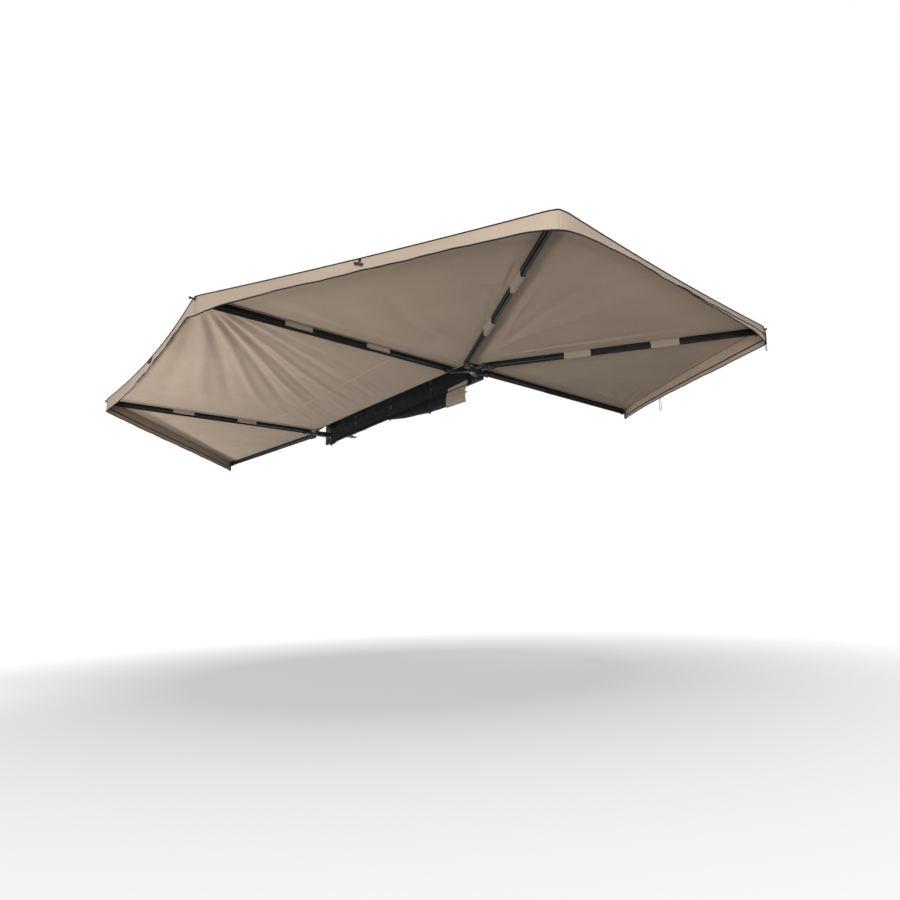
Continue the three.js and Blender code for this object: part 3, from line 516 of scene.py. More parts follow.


# Canvas: ripstop polyester, tan outside and a browner coated face inside whose warmth is partly painted
# shade
CANVAS_OUTSIDE = (0.500, 0.402, 0.315)
# The inside's warmer tone is partly painted: besides the coating's own brown, it stands in for warm bounced
# light in the shade under the canopy
CANVAS_INSIDE = (0.430, 0.330, 0.248)
THREAD_PITCH = 0.0011
RIPSTOP_PITCH = 0.0075
STITCH_PITCH = 0.005
STITCH_OFFSETS = (0.007, 0.017)
STITCH_HALF = 0.0007
STITCH_SOFTNESS = 0.0006
STITCH_RELIEFS = (0.0006, 0.0005)
THREAD_RELIEF = 0.00006
RIPSTOP_LINE = (0.0002, 0.0007)
RIPSTOP_RELIEF = 0.00008
CANVAS_CRUMPLE = 0.006


def canvas_material(name, colour, stitched=True):
    shade = Shade(name, 0.88, sheen=0.05, specular=0.25)
    along_u, along_v = shade.split(shade.uv("metres"))[:2]
    blotches = shade.noise(2.2, 4.0)
    mottle = shade.noise(38.0, 3.0)
    base = shade.ramp(blotches, [(0.32, scaled(colour, 0.93)), (0.55, colour), (0.75, scaled(colour, 1.05))])
    base = shade.mixed(shade.spread(mottle, 0.0, 0.10), base, scaled(colour, 0.80))
    shade.rough(shade.spread(mottle, 0.82, 0.94))
    if stitched:
        edge = shade.split(shade.uv("edge"))
        dashes = shade.maths("PINGPONG", edge[1], STITCH_PITCH / 2)
        dashes = shade.spread(dashes, 0.0, 1.0, at=(STITCH_PITCH / 10, STITCH_PITCH / 5))
        rows = None
        for offset in STITCH_OFFSETS:
            gap = shade.maths("ABSOLUTE", shade.maths("SUBTRACT", edge[0], offset))
            line = shade.spread(gap, 1.0, 0.0, at=(STITCH_HALF, STITCH_HALF + STITCH_SOFTNESS))
            rows = line if rows is None else shade.maths("MAXIMUM", rows, line)
        stitches = shade.maths("MULTIPLY", rows, dashes)
        base = shade.mixed(stitches, base, scaled(colour, 0.62))
        shade.bump(rows, -STITCH_RELIEFS[0], 0.6)
        shade.bump(stitches, STITCH_RELIEFS[1], 0.6)
    shade.colour(base)
    shade.weave(along_u, along_v, THREAD_RELIEF)
    cells = shade.maths("MINIMUM",
                        shade.maths("PINGPONG", along_u, RIPSTOP_PITCH / 2),
                        shade.maths("PINGPONG", along_v, RIPSTOP_PITCH / 2))
    shade.bump(shade.spread(cells, 1.0, 0.0, at=RIPSTOP_LINE), RIPSTOP_RELIEF, 0.5)
    shade.bump(shade.noise(9.0, 3.0), CANVAS_CRUMPLE, 0.35)
    return shade.material


# Black, painted and bare parts: how wide their edges wear, and how high their grain stands
METAL_WEAR = 0.0015
PLASTIC_WEAR = 0.0012
METAL_GRAIN = 0.00005
PLASTIC_GRAIN = 0.00012
BRUSHED_GRAIN = 0.00004
PAINT_GRAIN = 0.0002


def anodised_black():
    shade = Shade("arm_black", 0.46, specular=0.14)
    streaks = shade.noise(40.0, 4.0, stretch=(1.0, 1.0, 6.0))
    base = shade.ramp(streaks, [(0.3, (0.0058, 0.0057, 0.0060)), (0.7, (0.0098, 0.0096, 0.0100))])
    shade.worn(base, METAL_WEAR, 0.45, (0.070, 0.068, 0.070))
    shade.rough(shade.spread(streaks, 0.34, 0.50))
    shade.bump(shade.noise(900.0, 2.0), METAL_GRAIN, 0.4)
    return shade.material


def moulded_plastic(name, colour, roughness=0.5):
    shade = Shade(name, roughness, specular=0.3)
    cloud = shade.noise(14.0, 3.0)
    base = shade.ramp(cloud, [(0.3, scaled(colour, 0.85)), (0.7, scaled(colour, 1.2))])
    shade.worn(base, PLASTIC_WEAR, 0.4, scaled(colour, 3.5))
    shade.rough(shade.spread(cloud, roughness - 0.06, roughness + 0.08))
    shade.bump(shade.noise(700.0, 2.0), PLASTIC_GRAIN, 0.5)
    return shade.material


def bare_metal(name, colour, roughness, stretch):
    shade = Shade(name, roughness, 1.0)
    brushed = shade.noise(60.0, 5.0, stretch=stretch)
    shade.colour(shade.ramp(brushed, [(0.25, scaled(colour, 0.82)), (0.75, colour)]))
    shade.rough(shade.spread(brushed, roughness - 0.06, roughness + 0.12))
    shade.bump(brushed, BRUSHED_GRAIN, 0.4)
    return shade.material


def powder_coat():
    shade = Shade("bracket_paint", 0.55)
    orange_peel = shade.noise(420.0, 2.0)
    base = shade.ramp(shade.noise(18.0, 3.0), [(0.3, (0.012, 0.012, 0.013)), (0.7, (0.020, 0.020, 0.021))])
    shade.worn(base, PLASTIC_WEAR, 0.5, (0.12, 0.12, 0.12))
    shade.rough(shade.spread(orange_peel, 0.46, 0.62))
    shade.bump(orange_peel, PAINT_GRAIN, 0.5)
    return shade.material


# Woven and coated black cloths, and rubber
RIB_PITCH = 0.0022
BAG_THREAD_RELIEF = 0.00008
BAG_CRUMPLE = 0.008
RIB_RELIEF = 0.00015
DUST_RELIEF = 0.0002


def bag_fabric():
    shade = Shade("bag_fabric", 0.66, specular=0.12)
    along_u, along_v = shade.split(shade.uv("metres"))[:2]
    scuffs = shade.noise(11.0, 5.0)
    shade.colour(shade.ramp(scuffs, [(0.3, (0.0050, 0.0052, 0.0058)), (0.6, (0.0075, 0.0077, 0.0084)),
                                     (0.85, (0.014, 0.014, 0.015))]))
    shade.rough(shade.spread(scuffs, 0.48, 0.72))
    shade.weave(along_u, along_v, BAG_THREAD_RELIEF)
    shade.bump(shade.noise(16.0, 4.0), BAG_CRUMPLE, 0.5)
    return shade.material


def webbing(name, colour):
    shade = Shade(name, 0.8, specular=0.12)
    along_u, along_v = shade.split(shade.uv("metres"))[:2]
    ribs = shade.waves(along_v, RIB_PITCH)
    weft = shade.waves(along_u, THREAD_PITCH)
    worn = shade.noise(30.0, 4.0)
    shade.colour(shade.ramp(worn, [(0.3, scaled(colour, 0.8)), (0.75, scaled(colour, 1.5))]))
    shade.rough(shade.spread(worn, 0.66, 0.85))
    shade.bump(shade.maths("ADD", ribs, weft), RIB_RELIEF, 0.6)
    return shade.material


def rubber():
    shade = Shade("foot_rubber", 0.8)
    dust = shade.noise(45.0, 4.0)
    shade.colour(shade.ramp(dust, [(0.35, (0.010, 0.010, 0.010)), (0.8, (0.045, 0.043, 0.040))]))
    shade.rough(shade.spread(dust, 0.7, 0.92))
    shade.bump(dust, DUST_RELIEF, 0.5)
    return shade.material


TAN_OUTSIDE = canvas_material("canvas_outside", CANVAS_OUTSIDE)
TAN_INSIDE = canvas_material("canvas_inside", CANVAS_INSIDE)
TAN_LOOP = canvas_material("loop_fabric", scaled(CANVAS_OUTSIDE, 0.64), stitched=False)
TAN_FLAP = canvas_material("flap_fabric", scaled(CANVAS_OUTSIDE, 0.50), stitched=False)
TAN_TAPE = canvas_material("seam_tape", scaled(CANVAS_OUTSIDE, 0.90), stitched=False)
BLACK_METAL = anodised_black()
BLACK_PLASTIC = moulded_plastic("corner_plastic", (0.011, 0.011, 0.012))
KNUCKLE_BLACK = moulded_plastic("knuckle_black", (0.013, 0.013, 0.014), 0.42)
STEEL = bare_metal("steel", (0.38, 0.385, 0.40), 0.34, (1.0, 1.0, 4.0))
BRACKET_PAINT = powder_coat()
BAG_CLOTH = bag_fabric()
BLACK_WEBBING = webbing("webbing", (0.010, 0.010, 0.011))
BLACK_PIPING = webbing("piping", (0.012, 0.012, 0.014))
BLACK_CORD = webbing("cord", (0.014, 0.014, 0.015))
RUBBER = rubber()

# Finishes of the CAD nodes that stay
CAD_FINISHES = {
    "hinge_leaf": BLACK_PLASTIC,
    "beam": BLACK_METAL,
    "tip_fitting": BLACK_PLASTIC,
    "leg_tube": BLACK_METAL,
    "leg_pole": BLACK_METAL,
    "knuckle": KNUCKLE_BLACK,
    "pivot_pin": STEEL,
    "back_rail": BLACK_METAL,
    "rail_cap": BLACK_PLASTIC,
    "rack_bracket": BRACKET_PAINT,
}
for node_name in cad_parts:
    for key, finish in CAD_FINISHES.items():
        if key in node_name:
            for material_slot in bpy.data.objects[node_name].material_slots:
                material_slot.material = finish


# Canvas relief. A crease is a soft ridge along a line in plan: x0, y0, x1, y1, half width, height.
# It rises over its first share and fades over its last, widens along its length, and wanders.
CREASE_START_SHARE = 0.14
CREASE_END_SHARE = 0.42
CREASE_WIDTH_SHARES = (0.45, 0.75)
CREASE_WANDER_SHARE = 0.25
CREASE_WANDER_RATES = (9.0, 31.0)


def crease_relief(x, y, creases):
    height = np.zeros_like(x)
    for x0, y0, x1, y1, width, rise in creases:
        line = np.array([x1 - x0, y1 - y0])
        length = np.hypot(*line)
        line = line / length
        run = ((x - x0) * line[0] + (y - y0) * line[1]) / length
        off = (y - y0) * line[0] - (x - x0) * line[1]
        phase = CREASE_WANDER_RATES[0] * run + CREASE_WANDER_RATES[1] * rise / abs(rise) + x0
        off = off + CREASE_WANDER_SHARE * width * np.sin(phase)
        spread = width * (CREASE_WIDTH_SHARES[0] + CREASE_WIDTH_SHARES[1] * np.clip(run, 0, 1))
        fade = smooth_step(run / CREASE_START_SHARE) * smooth_step((1 - run) / CREASE_END_SHARE)
        height += rise * fade * np.exp(-((off / spread) ** 2))
    return height


def row_of_creases(count, first, step):
    """Creases side by side, each a step on from the last, and turned over."""
    return [(*(value + change * i for value, change in zip(first[:5], step)), first[5] * (-1) ** i)
            for i in range(count)]


# Creases that fan out of the side panel's rear corner: their far ends, and shares of the fan's width
# and height
SIDE_CORNER = (-1.30, 2.22)
SIDE_FAN_WIDTH = 0.027
SIDE_FAN_HEIGHT = 0.0048
SIDE_FAN_TARGETS_AND_SHARES = (
    ((1.20, 1.80), 2.6, 0.8), ((1.25, 1.40), 2.2, -1.0), ((1.05, 1.16), 1.8, 1.3), ((1.00, 0.84), 1.4, -1.9),
    ((0.86, 0.62), 1.2, 2.3), ((0.66, 0.52), 1.0, -2.7), ((0.42, 0.50), 1.0, 2.7), ((0.16, 0.44), 1.1, -2.3),
    ((-0.14, 0.40), 1.1, 1.7), ((-0.34, 0.46), 1.0, -1.3), ((-0.56, 0.52), 1.0, 0.9),
)
SIDE_CREASES = [
    (*SIDE_CORNER, *target, SIDE_FAN_WIDTH * size, SIDE_FAN_HEIGHT * size * sign)
    for target, size, sign in SIDE_FAN_TARGETS_AND_SHARES
]
SIDE_CREASES += row_of_creases(5, (-0.92, 1.36, -0.76, 0.86, 0.014, 0.0034), (0.09, 0.03, 0.08, 0, 0))
SIDE_CREASES += [
    (-0.47, 0.86, -0.02, 0.20, 0.017, 0.0068), (-0.56, 0.84, -0.04, 0.16, 0.014, -0.0052),
    (-0.21, 0.86, 0.20, 0.20, 0.016, 0.0062), (-0.10, 0.88, 0.46, 0.22, 0.018, -0.0056),
    (0.06, 0.98, 0.74, 0.22, 0.014, 0.0050), (0.28, 0.92, 0.86, 0.26, 0.017, -0.0056),
    (0.36, 0.98, 1.02, 0.28, 0.016, 0.0054), (-0.66, 0.86, -0.22, 0.18, 0.016, 0.0040),
    (0.52, 1.02, 1.10, 0.44, 0.014, -0.0040), (-0.30, 0.78, 0.06, 0.22, 0.010, -0.0040),
]
SIDE_CREASES += row_of_creases(4, (1.12, 2.14, 0.62, 0.95, 0.042, 0.0044), (-0.14, 0, -0.16, -0.02, 0))
SIDE_CREASES += row_of_creases(5, (-1.18, 1.84, -0.96, 1.52, 0.012, 0.0028), (0, -0.12, 0, -0.13, 0))

# Creases of the four fans
SIDE_FAN_CREASES = [
    (-2.05, 0.66, -2.75, 1.12, 0.030, 0.0040), (-2.15, 0.72, -2.80, 1.20, 0.024, -0.0035),
    (-1.85, 0.56, -2.45, 1.00, 0.026, 0.0030), (-2.35, 0.80, -2.70, 1.10, 0.018, 0.0030),
    (-1.60, 0.50, -1.75, 1.20, 0.060, -0.0060), (-1.45, 0.60, -1.55, 1.80, 0.060, 0.0060),
    (-1.55, 0.70, -1.95, 1.55, 0.070, 0.0060), (-2.40, 0.86, -2.20, 1.45, 0.050, -0.0050),
    (-2.86, 1.00, -2.62, 1.34, 0.026, 0.0040), (-1.40, 1.30, -1.55, 1.95, 0.040, -0.0040),
]
REAR_FAN_CREASES = [
    (-1.60, 0.20, -2.90, -0.70, 0.040, 0.0045), (-1.50, 0.22, -2.70, -0.60, 0.030, -0.0040),
    (-1.70, 0.30, -2.90, 0.60, 0.050, 0.0040), (-2.80, -0.90, -2.60, 0.20, 0.050, -0.0035),
    (-1.60, 0.30, -2.90, 0.20, 0.070, -0.0045), (-1.55, 0.02, -2.62, -0.72, 0.016, 0.0040),
    (-1.62, -0.02, -2.40, -0.56, 0.014, -0.0036), (-1.80, 0.36, -2.80, 0.92, 0.030, -0.0035),
]
FAR_FAN_CREASES = [
    (-1.50, -0.10, -2.50, -1.20, 0.040, 0.0045), (-1.40, -0.20, -1.90, -1.60, 0.050, -0.0045),
    (-1.35, -0.30, -1.55, -1.60, 0.040, 0.0050), (-2.60, -1.10, -1.60, -1.55, 0.040, 0.0045),
    (-1.24, -1.66, -1.60, -1.00, 0.024, -0.0050), (-1.22, -1.70, -1.50, -0.80, 0.020, 0.0050),
    (-1.26, -1.70, -1.80, -1.30, 0.024, 0.0050),
]
FRONT_FAN_CREASES = [
    (1.50, 0.50, 2.60, 1.60, 0.050, 0.0045), (1.45, 0.40, 2.95, 1.00, 0.040, -0.0040),
    (1.35, 0.60, 1.90, 1.90, 0.050, -0.0040), (3.10, 0.55, 2.40, 1.10, 0.030, 0.0040),
    (3.15, 0.60, 2.20, 1.40, 0.030, -0.0035), (1.40, 0.60, 1.55, 1.90, 0.040, 0.0035),
]

# How far the canvas sags, how close to seams, hem and hub it's held, its grid and its valance
SAG = 0.014
SAG_POWER = 1.3
SEAM_HOLD = 0.09
HEM_HOLD = 0.10
HUB_HOLD = 0.35
ROW_STEP = 0.016
COLUMN_STEP = 0.016
RAIL_ROWS = 10
VALANCE_WAVES = ((0.0030, 14, 0), (0.0018, 37, 1.3))
CORNER_INSETS = {1: 0.0, 2: 0.004, 3: 0.004, 4: 0.012, 5: 0.007, 6: 0.0}
CORNER_ROUND_LENGTH = 0.085
CORNER_ROUND_POWER = 8
VALANCE_STEPS = 12
VALANCE_SOFT_COLUMNS = 5
ARC_STEPS = 3

# Folding: the side panel's upright sheet, the part of each fan beside its seams that stays with the
# arms, and the front valance that tucks in outside the first arm
SIDE_DEGREES = 92
FOLD_SEAM = 0.030
FOLD_SEAM_SHARES = (0.004, 0.3)
VALANCE_TUCK_DROP = 0.020
VALANCE_TUCK_SHARE = 1.62


def softened(values, reach):
    """Values along a row with their sharp turns rounded off."""
    padded = np.pad(values, reach, mode="reflect", reflect_type="odd")
    weights = np.hanning(2 * reach + 3)[1:-1]
    return np.convolve(padded, weights / weights.sum(), mode="valid")


def bowed_row(start, end, bow, shares):
    """Points across a panel, drawn towards the hub by the cloth's tension."""
    direction = unit((end - start) * np.array([1.0, 1.0, 0.0]))
    outward = np.array([-direction[1], direction[0], 0.0])
    row = start + np.outer(shares, end - start) - np.outer(bow * 4 * shares * (1 - shares), outward)
    return row, outward


class Panel:
    """One panel of the canvas with its valance, as a grid of points on its outer face. Its shares
    run across it, from its first arm to its last."""

    def __init__(self, name, first, last, bow, depths, creases, rail=False):
        self.name, self.first, self.last, self.rail = name, first, last, rail
        width = np.linalg.norm(seam_point(last, REACH, 1) - seam_point(first, REACH, -1))
        self.columns = int(width / COLUMN_STEP) + 1
        self.shares = np.linspace(0, 1, self.columns)
        flat_end = REACH - FOLD_RADIUS
        self.distances = np.linspace(SEAM_START, flat_end, int((flat_end - SEAM_START) / ROW_STEP))
        rows = []
        for s in self.distances:
            row_bow = bow * (s - SEAM_START) / (REACH - SEAM_START)
            row = bowed_row(seam_point(first, s, -1), seam_point(last, s, 1), row_bow, self.shares)[0]
            rows.append(self.relief(row, s, creases))
        if rail:
            rows = self.rail_rows(rows[0]) + rows
        self.edge_row = len(rows)
        ends = seam_point(first, REACH, -1), seam_point(last, REACH, 1)
        edge, self.outward = bowed_row(*ends, bow, self.shares)
        self.depth = np.interp(self.shares, VALANCE_STATION_SHARES, depths)
        self.depth[1:-1] = softened(self.depth, VALANCE_SOFT_COLUMNS)[1:-1]
        rows += self.valance(edge, width)
        self.points = self.rounded(np.array(rows), width)
        self.edge = self.points[self.edge_row + ARC_STEPS] + UP * FOLD_RADIUS
        self.hem = self.points[-1]

    def rounded(self, points, width):
        """Draws the edge in at each corner, so that it runs round the arm's end."""
        rail_rows = self.edge_row - len(self.distances)
        distances = np.full(len(points), REACH)
        distances[:rail_rows] = 0.0
        distances[rail_rows:self.edge_row] = self.distances
        pull = (distances / REACH) ** CORNER_ROUND_POWER
        for arm, from_corner in ((self.first, self.shares), (self.last, 1 - self.shares)):
            near = np.maximum(0.0, 1 - from_corner * width / CORNER_ROUND_LENGTH) ** 2
            points = points - np.multiply.outer(np.outer(pull, near), along(arm)) * CORNER_INSETS[arm.number]
        return points

    def relief(self, row, s, creases):
        """Lowers and creases a row, except where seams, hem and hub hold it."""
        width = np.linalg.norm(row[-1] - row[0])
        held = smooth_step(np.minimum(self.shares, 1 - self.shares) * width / SEAM_HOLD)
        held = held * smooth_step((REACH - s) / HEM_HOLD) * smooth_step(s / HUB_HOLD)
        sag = SAG * np.sin(math.pi * self.shares) * math.sin(math.pi * min(1.0, s / REACH) ** SAG_POWER)
        row[:, 2] += held * crease_relief(row[:, 0], row[:, 1], creases) - sag
        return row

    def rail_rows(self, first_row):
        """Rows from the rail's top track to the first row between the arms."""
        middle = (RAIL_FACE_Y + RAIL_BACK_Y) / 2
        starts = []
        for y in (middle, RAIL_FACE_Y + RAIL_CANVAS_OVERRUN):
            start = np.array([RAIL_REAR_X, y, RAIL_CANVAS_Z])
            end = np.array([RAIL_FRONT_X, y, RAIL_CANVAS_Z])
            starts.append(start + np.outer(self.shares, end - start))
        downs = np.linspace(0, 1, RAIL_ROWS, endpoint=False)
        return [starts[0]] + [starts[1] * (1 - down) + first_row * down for down in downs]

    def valance(self, edge, width):
        """The rounded fold over the arms' ends, and the hanging strip with its arched hem."""
        rows = []
        for angle in (math.pi / 2 * i / ARC_STEPS for i in range(ARC_STEPS + 1)):
            inward, lower = 1 - math.sin(angle), 1 - math.cos(angle)
            rows.append(edge - self.outward * FOLD_RADIUS * inward - UP * FOLD_RADIUS * lower)
        middle = np.minimum(1.0, 4 * self.shares * (1 - self.shares))
        wave = ripple(width * self.shares, *VALANCE_WAVES)
        for i in range(1, VALANCE_STEPS + 1):
            down = i / VALANCE_STEPS
            flare = (VALANCE_FLARE * down + wave * down) * middle
            drop = FOLD_RADIUS + (self.depth - FOLD_RADIUS) * down
            rows.append(edge + np.outer(flare, self.outward) - np.outer(drop, UP))
        return rows

    def uv(self):
        """Metres across and along the cloth, and metres from the nearest seam and along it."""
        steps = np.linalg.norm(np.diff(self.points, axis=0), axis=2).mean(axis=1)
        run = np.concatenate([[0.0], np.cumsum(steps)])
        widths = np.linalg.norm(self.points[:, -1] - self.points[:, 0], axis=1)
        u = (self.shares[None, :] - 0.5) * widths[:, None]
        v = np.repeat(run[:, None], self.columns, axis=1)
        from_seam = np.minimum(self.shares, 1 - self.shares)[None, :] * widths[:, None]
        return {
            "metres": np.stack([u, v], axis=2).reshape(-1, 2),
            "edge": np.stack([from_seam, v], axis=2).reshape(-1, 2),
        }

    def place(self, share, drop):
        """A point on the valance's outer face, that far below its top."""
        column = int(round(share * (self.columns - 1)))
        rows = self.points[self.edge_row:, column]
        depth = rows[0][2] - rows[:, 2]
        return np.array([np.interp(drop, depth, rows[:, axis]) for axis in range(3)])

    def move(self, piece):
        """Puts a piece of the rail's panel on the root body with its own mesh, and hands a fan's piece to
        fan_blend.
        """
        if self.rail:
            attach(piece, "root")
            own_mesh(piece)
        else:
            fan_blend(piece, self.first, self.last)


def seam_angles(arm, radius):
    """Where an arm's seam lies round its pin, at each radius."""
    lateral = arm.lane * np.minimum(1.0, radius / SEAM_JOIN)
    return np.radians(arm.degrees) + np.arcsin(np.clip(lateral / np.maximum(radius, TINY), -1, 1))


def fan_blend(piece, first, last):
    """Works out how a piece would fold like a fan, after baking its placement into its mesh: each point's
    share of the angle between two arms, so that the cloth would end in the gap between them and the
    front valance outside the first arm. The shares are not applied, so nothing folds."""
    parent, child = sorted((first, last), key=lambda arm: abs(arm.degrees - SIDE_DEGREES))
    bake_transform(piece)
    points = np.array([vertex.co for vertex in piece.data.vertices])
    x, y = points[:, 0] - parent.pivot_x, points[:, 1] - PIN_Y
    radius = np.hypot(x, y)
    here = np.arctan2(y, x)
    from_angle, to_angle = seam_angles(parent, radius), seam_angles(child, radius)
    here = here + 2 * math.pi * np.round(((from_angle + to_angle) / 2 - here) / (2 * math.pi))
    span = to_angle - from_angle
    share = np.clip((here - from_angle) / span, 0, 1)
    away = np.clip(FOLD_SEAM / np.maximum(radius * abs(span), TINY), *FOLD_SEAM_SHARES)
    tucked = 0.5 * smooth_step(share / away) + 0.5 * smooth_step((share - 1 + away) / away)
    if child.number == 1:
        tuck_top = pin(parent)[2] + CANVAS_TOP - VALANCE_TUCK_DROP
        below = smooth_step((tuck_top - points[:, 2]) / VALANCE_TUCK_DROP)
        tucked = tucked * (1 - below) + smooth_step(share / away) * below * VALANCE_TUCK_SHARE
    lanes = child.lane - parent.lane
    turn = radius * math.radians(parent.degrees - child.degrees)
    share = np.clip(share + (tucked - share) * lanes / np.where(radius > TINY, turn, 1.0), 0, 1)


PANELS = {panel.name: panel for panel in (
    Panel("canopy_front_fan", ARMS[2], ARMS[1], FAN_BOW, FRONT_FAN_DEPTHS, FRONT_FAN_CREASES),
    Panel("canopy_side_panel", ARMS[3], ARMS[2], SIDE_BOW, SIDE_PANEL_DEPTHS, SIDE_CREASES, rail=True),
    Panel("canopy_side_fan", ARMS[4], ARMS[3], FAN_BOW, SIDE_FAN_DEPTHS, SIDE_FAN_CREASES),
    Panel("canopy_rear_fan", ARMS[5], ARMS[4], FAN_BOW, REAR_FAN_DEPTHS, REAR_FAN_CREASES),
    Panel("canopy_far_fan", ARMS[6], ARMS[5], FAN_BOW, FAR_FAN_DEPTHS, FAR_FAN_CREASES),
)}

# A panel's piping and hem binding, sunk a little into the cloth
PIPING_RADIUS = 0.0034
BINDING = (0.0020, 0.0044)
TRIM_SINK_SHARE = 0.3


def make_canopy(panel):
    sheet = cloth(f"{panel.name}_cloth", panel.points, panel.uv(), CLOTH, TAN_OUTSIDE, TAN_INSIDE)
    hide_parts(panel.name)
    top = panel.edge + (panel.outward - UP) * PIPING_RADIUS * TRIM_SINK_SHARE
    piping = tube(f"{panel.name}_piping", top, (PIPING_RADIUS, PIPING_RADIUS), BLACK_PIPING)
    low = panel.hem - UP * BINDING[1] * TRIM_SINK_SHARE
    binding = tube(f"{panel.name}_binding", low, BINDING, BLACK_PIPING)
    for piece in (sheet, piping, binding):
        panel.move(piece)


for canopy in PANELS.values():
    make_canopy(canopy)

# A webbing line sewn along a valance, outside (1) or inside (-1): the shares of the valance's depth
# where it starts and ends, the share of the width it runs to, and its half height
LINE_RISE = 0.0016
VALANCE_LINES = {
    "canopy_front_fan": (-1, (0.66, 0.66), 1.0, 0.0048),
    "canopy_far_fan": (-1, (0.70, 0.70), 1.0, 0.0048),
    "canopy_rear_fan": (1, (0.50, 0.94), 0.52, 0.0040),
}


def make_valance_line(panel, face, depth_shares, reach_share, half):
    shift = panel.outward * (LINE_RISE if face > 0 else -CLOTH - LINE_RISE)
    drops = np.interp(panel.shares, (0, reach_share), depth_shares) * panel.depth
    path = [panel.place(share, drop) for share, drop in zip(panel.shares, drops) if share <= reach_share]
    line = tube(f"{panel.name}_line", np.array(path) + shift, (LINE_RISE, half), BLACK_PIPING)
    panel.move(line)


for lined_name, lined in VALANCE_LINES.items():
    make_valance_line(PANELS[lined_name], *lined)

# Webbing from an arm's end down to the hem's corner, and how far it stands off the cloth
CORNER_STRAP_DEPTHS = {1: FRONT_FAN_DEPTHS[-1], 5: FAR_FAN_DEPTHS[-1], 6: FAR_FAN_DEPTHS[0]}
CORNER_STRAP_SIZES = (0.017, 0.0016)
CORNER_STRAP_OFF = 0.0030
CORNER_STRAP_TOP = 0.012
CORNER_STRAP_OVERHANG = 0.006
CORNER_STRAP_WAVE = (0.002, 40, 0)
CORNER_STRAP_STATIONS = 14


def make_corner_strap(arm, depth):
    out = REACH - CORNER_INSETS[arm.number] + CORNER_STRAP_OFF
    bottom = depth + CORNER_STRAP_OVERHANG - (CANVAS_TOP - BEAM_MIDDLE)
    path = [on_arm(arm, out + ripple(drop, CORNER_STRAP_WAVE), 0.0, BEAM_MIDDLE - drop)
            for drop in np.linspace(CORNER_STRAP_TOP, bottom, CORNER_STRAP_STATIONS)]
    strap = tube(f"{body(arm)}_corner_strap", path, CORNER_STRAP_SIZES, BLACK_WEBBING, sides=12,
                 normals=[along(arm)] * len(path))
    fit(strap, body(arm))


for strapped, strapped_depth in CORNER_STRAP_DEPTHS.items():
    make_corner_strap(ARMS[strapped], strapped_depth)


# A sewn join across the side panel, and stitched tapes over the seams
JOIN_DISTANCE = 0.60
JOIN_SIZES = (0.0070, 0.0012)
JOIN_TRIM = 2
TAPE_HALF = 0.014
TAPE_RISE = 0.0009
TAPE_EDGE_RISE = 0.0002
TAPE_MIDDLE_RISE = 0.00126
TAPE_SIDE_SHARES = (-1.0, -0.9, 0.0, 0.9, 1.0)
TAPE_RISES = (TAPE_EDGE_RISE, TAPE_RISE, TAPE_MIDDLE_RISE, TAPE_RISE, TAPE_EDGE_RISE)
TAPE_STATIONS = 60


def make_join(panel):
    row = int(np.argmin(abs(panel.distances - JOIN_DISTANCE))) + panel.edge_row - len(panel.distances)
    path = panel.points[row][JOIN_TRIM:-JOIN_TRIM] - UP * (CLOTH + JOIN_SIZES[1] / 2)
    piece = tube(f"{panel.name}_join", path, JOIN_SIZES, TAN_TAPE)
    panel.move(piece)


make_join(PANELS["canopy_side_panel"])

# The strip that holds the side panel in the rail's track: across the rail and height, from its back
RAIL_STRIP = ((0.0577, 0.2128), (0.0700, 0.2130), (0.0765, 0.2126), (0.0797, 0.2110), (0.0805, 0.2095))
RAIL_STRIP_WAVE = (0.0003, 40, 0)
RAIL_STRIP_STATIONS = 80


def make_rail_strip():
    stations = np.linspace(RAIL_REAR_X, RAIL_FRONT_X, RAIL_STRIP_STATIONS)
    points = np.array([[(x, y, z + ripple(x, RAIL_STRIP_WAVE)) for y, z in RAIL_STRIP] for x in stations])
    uv = {"metres": points[:, :, [1, 0]].reshape(-1, 2)}
    strip = cloth("rail_strip", points, uv, TAPE_RISE, TAN_TAPE, turned=True)
    fit(strip, "root")


make_rail_strip()

# The canvas between the rail's front end, the side panel and the front fan
FRONT_CORNER_STEPS = 14
FRONT_CORNER_START_SHARE = 0.03
FRONT_CORNER_SAG = 0.004


def make_front_corner():
    rail_end = np.array([RAIL_FRONT_X, RAIL_FACE_Y + RAIL_CANVAS_OVERRUN, RAIL_CANVAS_Z])
    inner, outer = (seam_point(ARMS[number], SEAM_START, 1) - rail_end for number in (2, 1))
    shares = np.linspace(0, 1, FRONT_CORNER_STEPS)
    points = np.array([[rail_end + down * (inner * (1 - side) + outer * side) for side in shares]
                       for down in np.linspace(FRONT_CORNER_START_SHARE, 1, FRONT_CORNER_STEPS)])
    points[:, :, 2] -= FRONT_CORNER_SAG * np.outer(np.sin(math.pi * shares), np.sin(math.pi * shares))
    uv = points[:, :, :2].reshape(-1, 2)
    corner = cloth("canopy_front_corner", points, {"metres": uv, "edge": uv}, CLOTH, TAN_OUTSIDE, TAN_INSIDE)
    PANELS["canopy_side_panel"].move(corner)


make_front_corner()


def seam_tape(arm):
    """A tape over the seam, with its edges turned down on the cloth."""
    stations = np.linspace(SEAM_JOIN, REACH - FOLD_RADIUS - CORNER_INSETS[arm.number], TAPE_STATIONS)
    sides = [TAPE_HALF * share for share in TAPE_SIDE_SHARES]
    points = np.array([[on_arm(arm, s, side, CANVAS_TOP + rise) for side, rise in zip(sides, TAPE_RISES)]
                       for s in stations])
    uv = {"metres": [(side, s) for s in stations for side in sides]}
    tape = cloth(f"{body(arm)}_seam_tape", points, uv, TAPE_RISE, TAN_TAPE, turned=True)
    fit(tape, body(arm))


for seam_number in (2, 3, 4, 5):
    seam_tape(ARMS[seam_number])


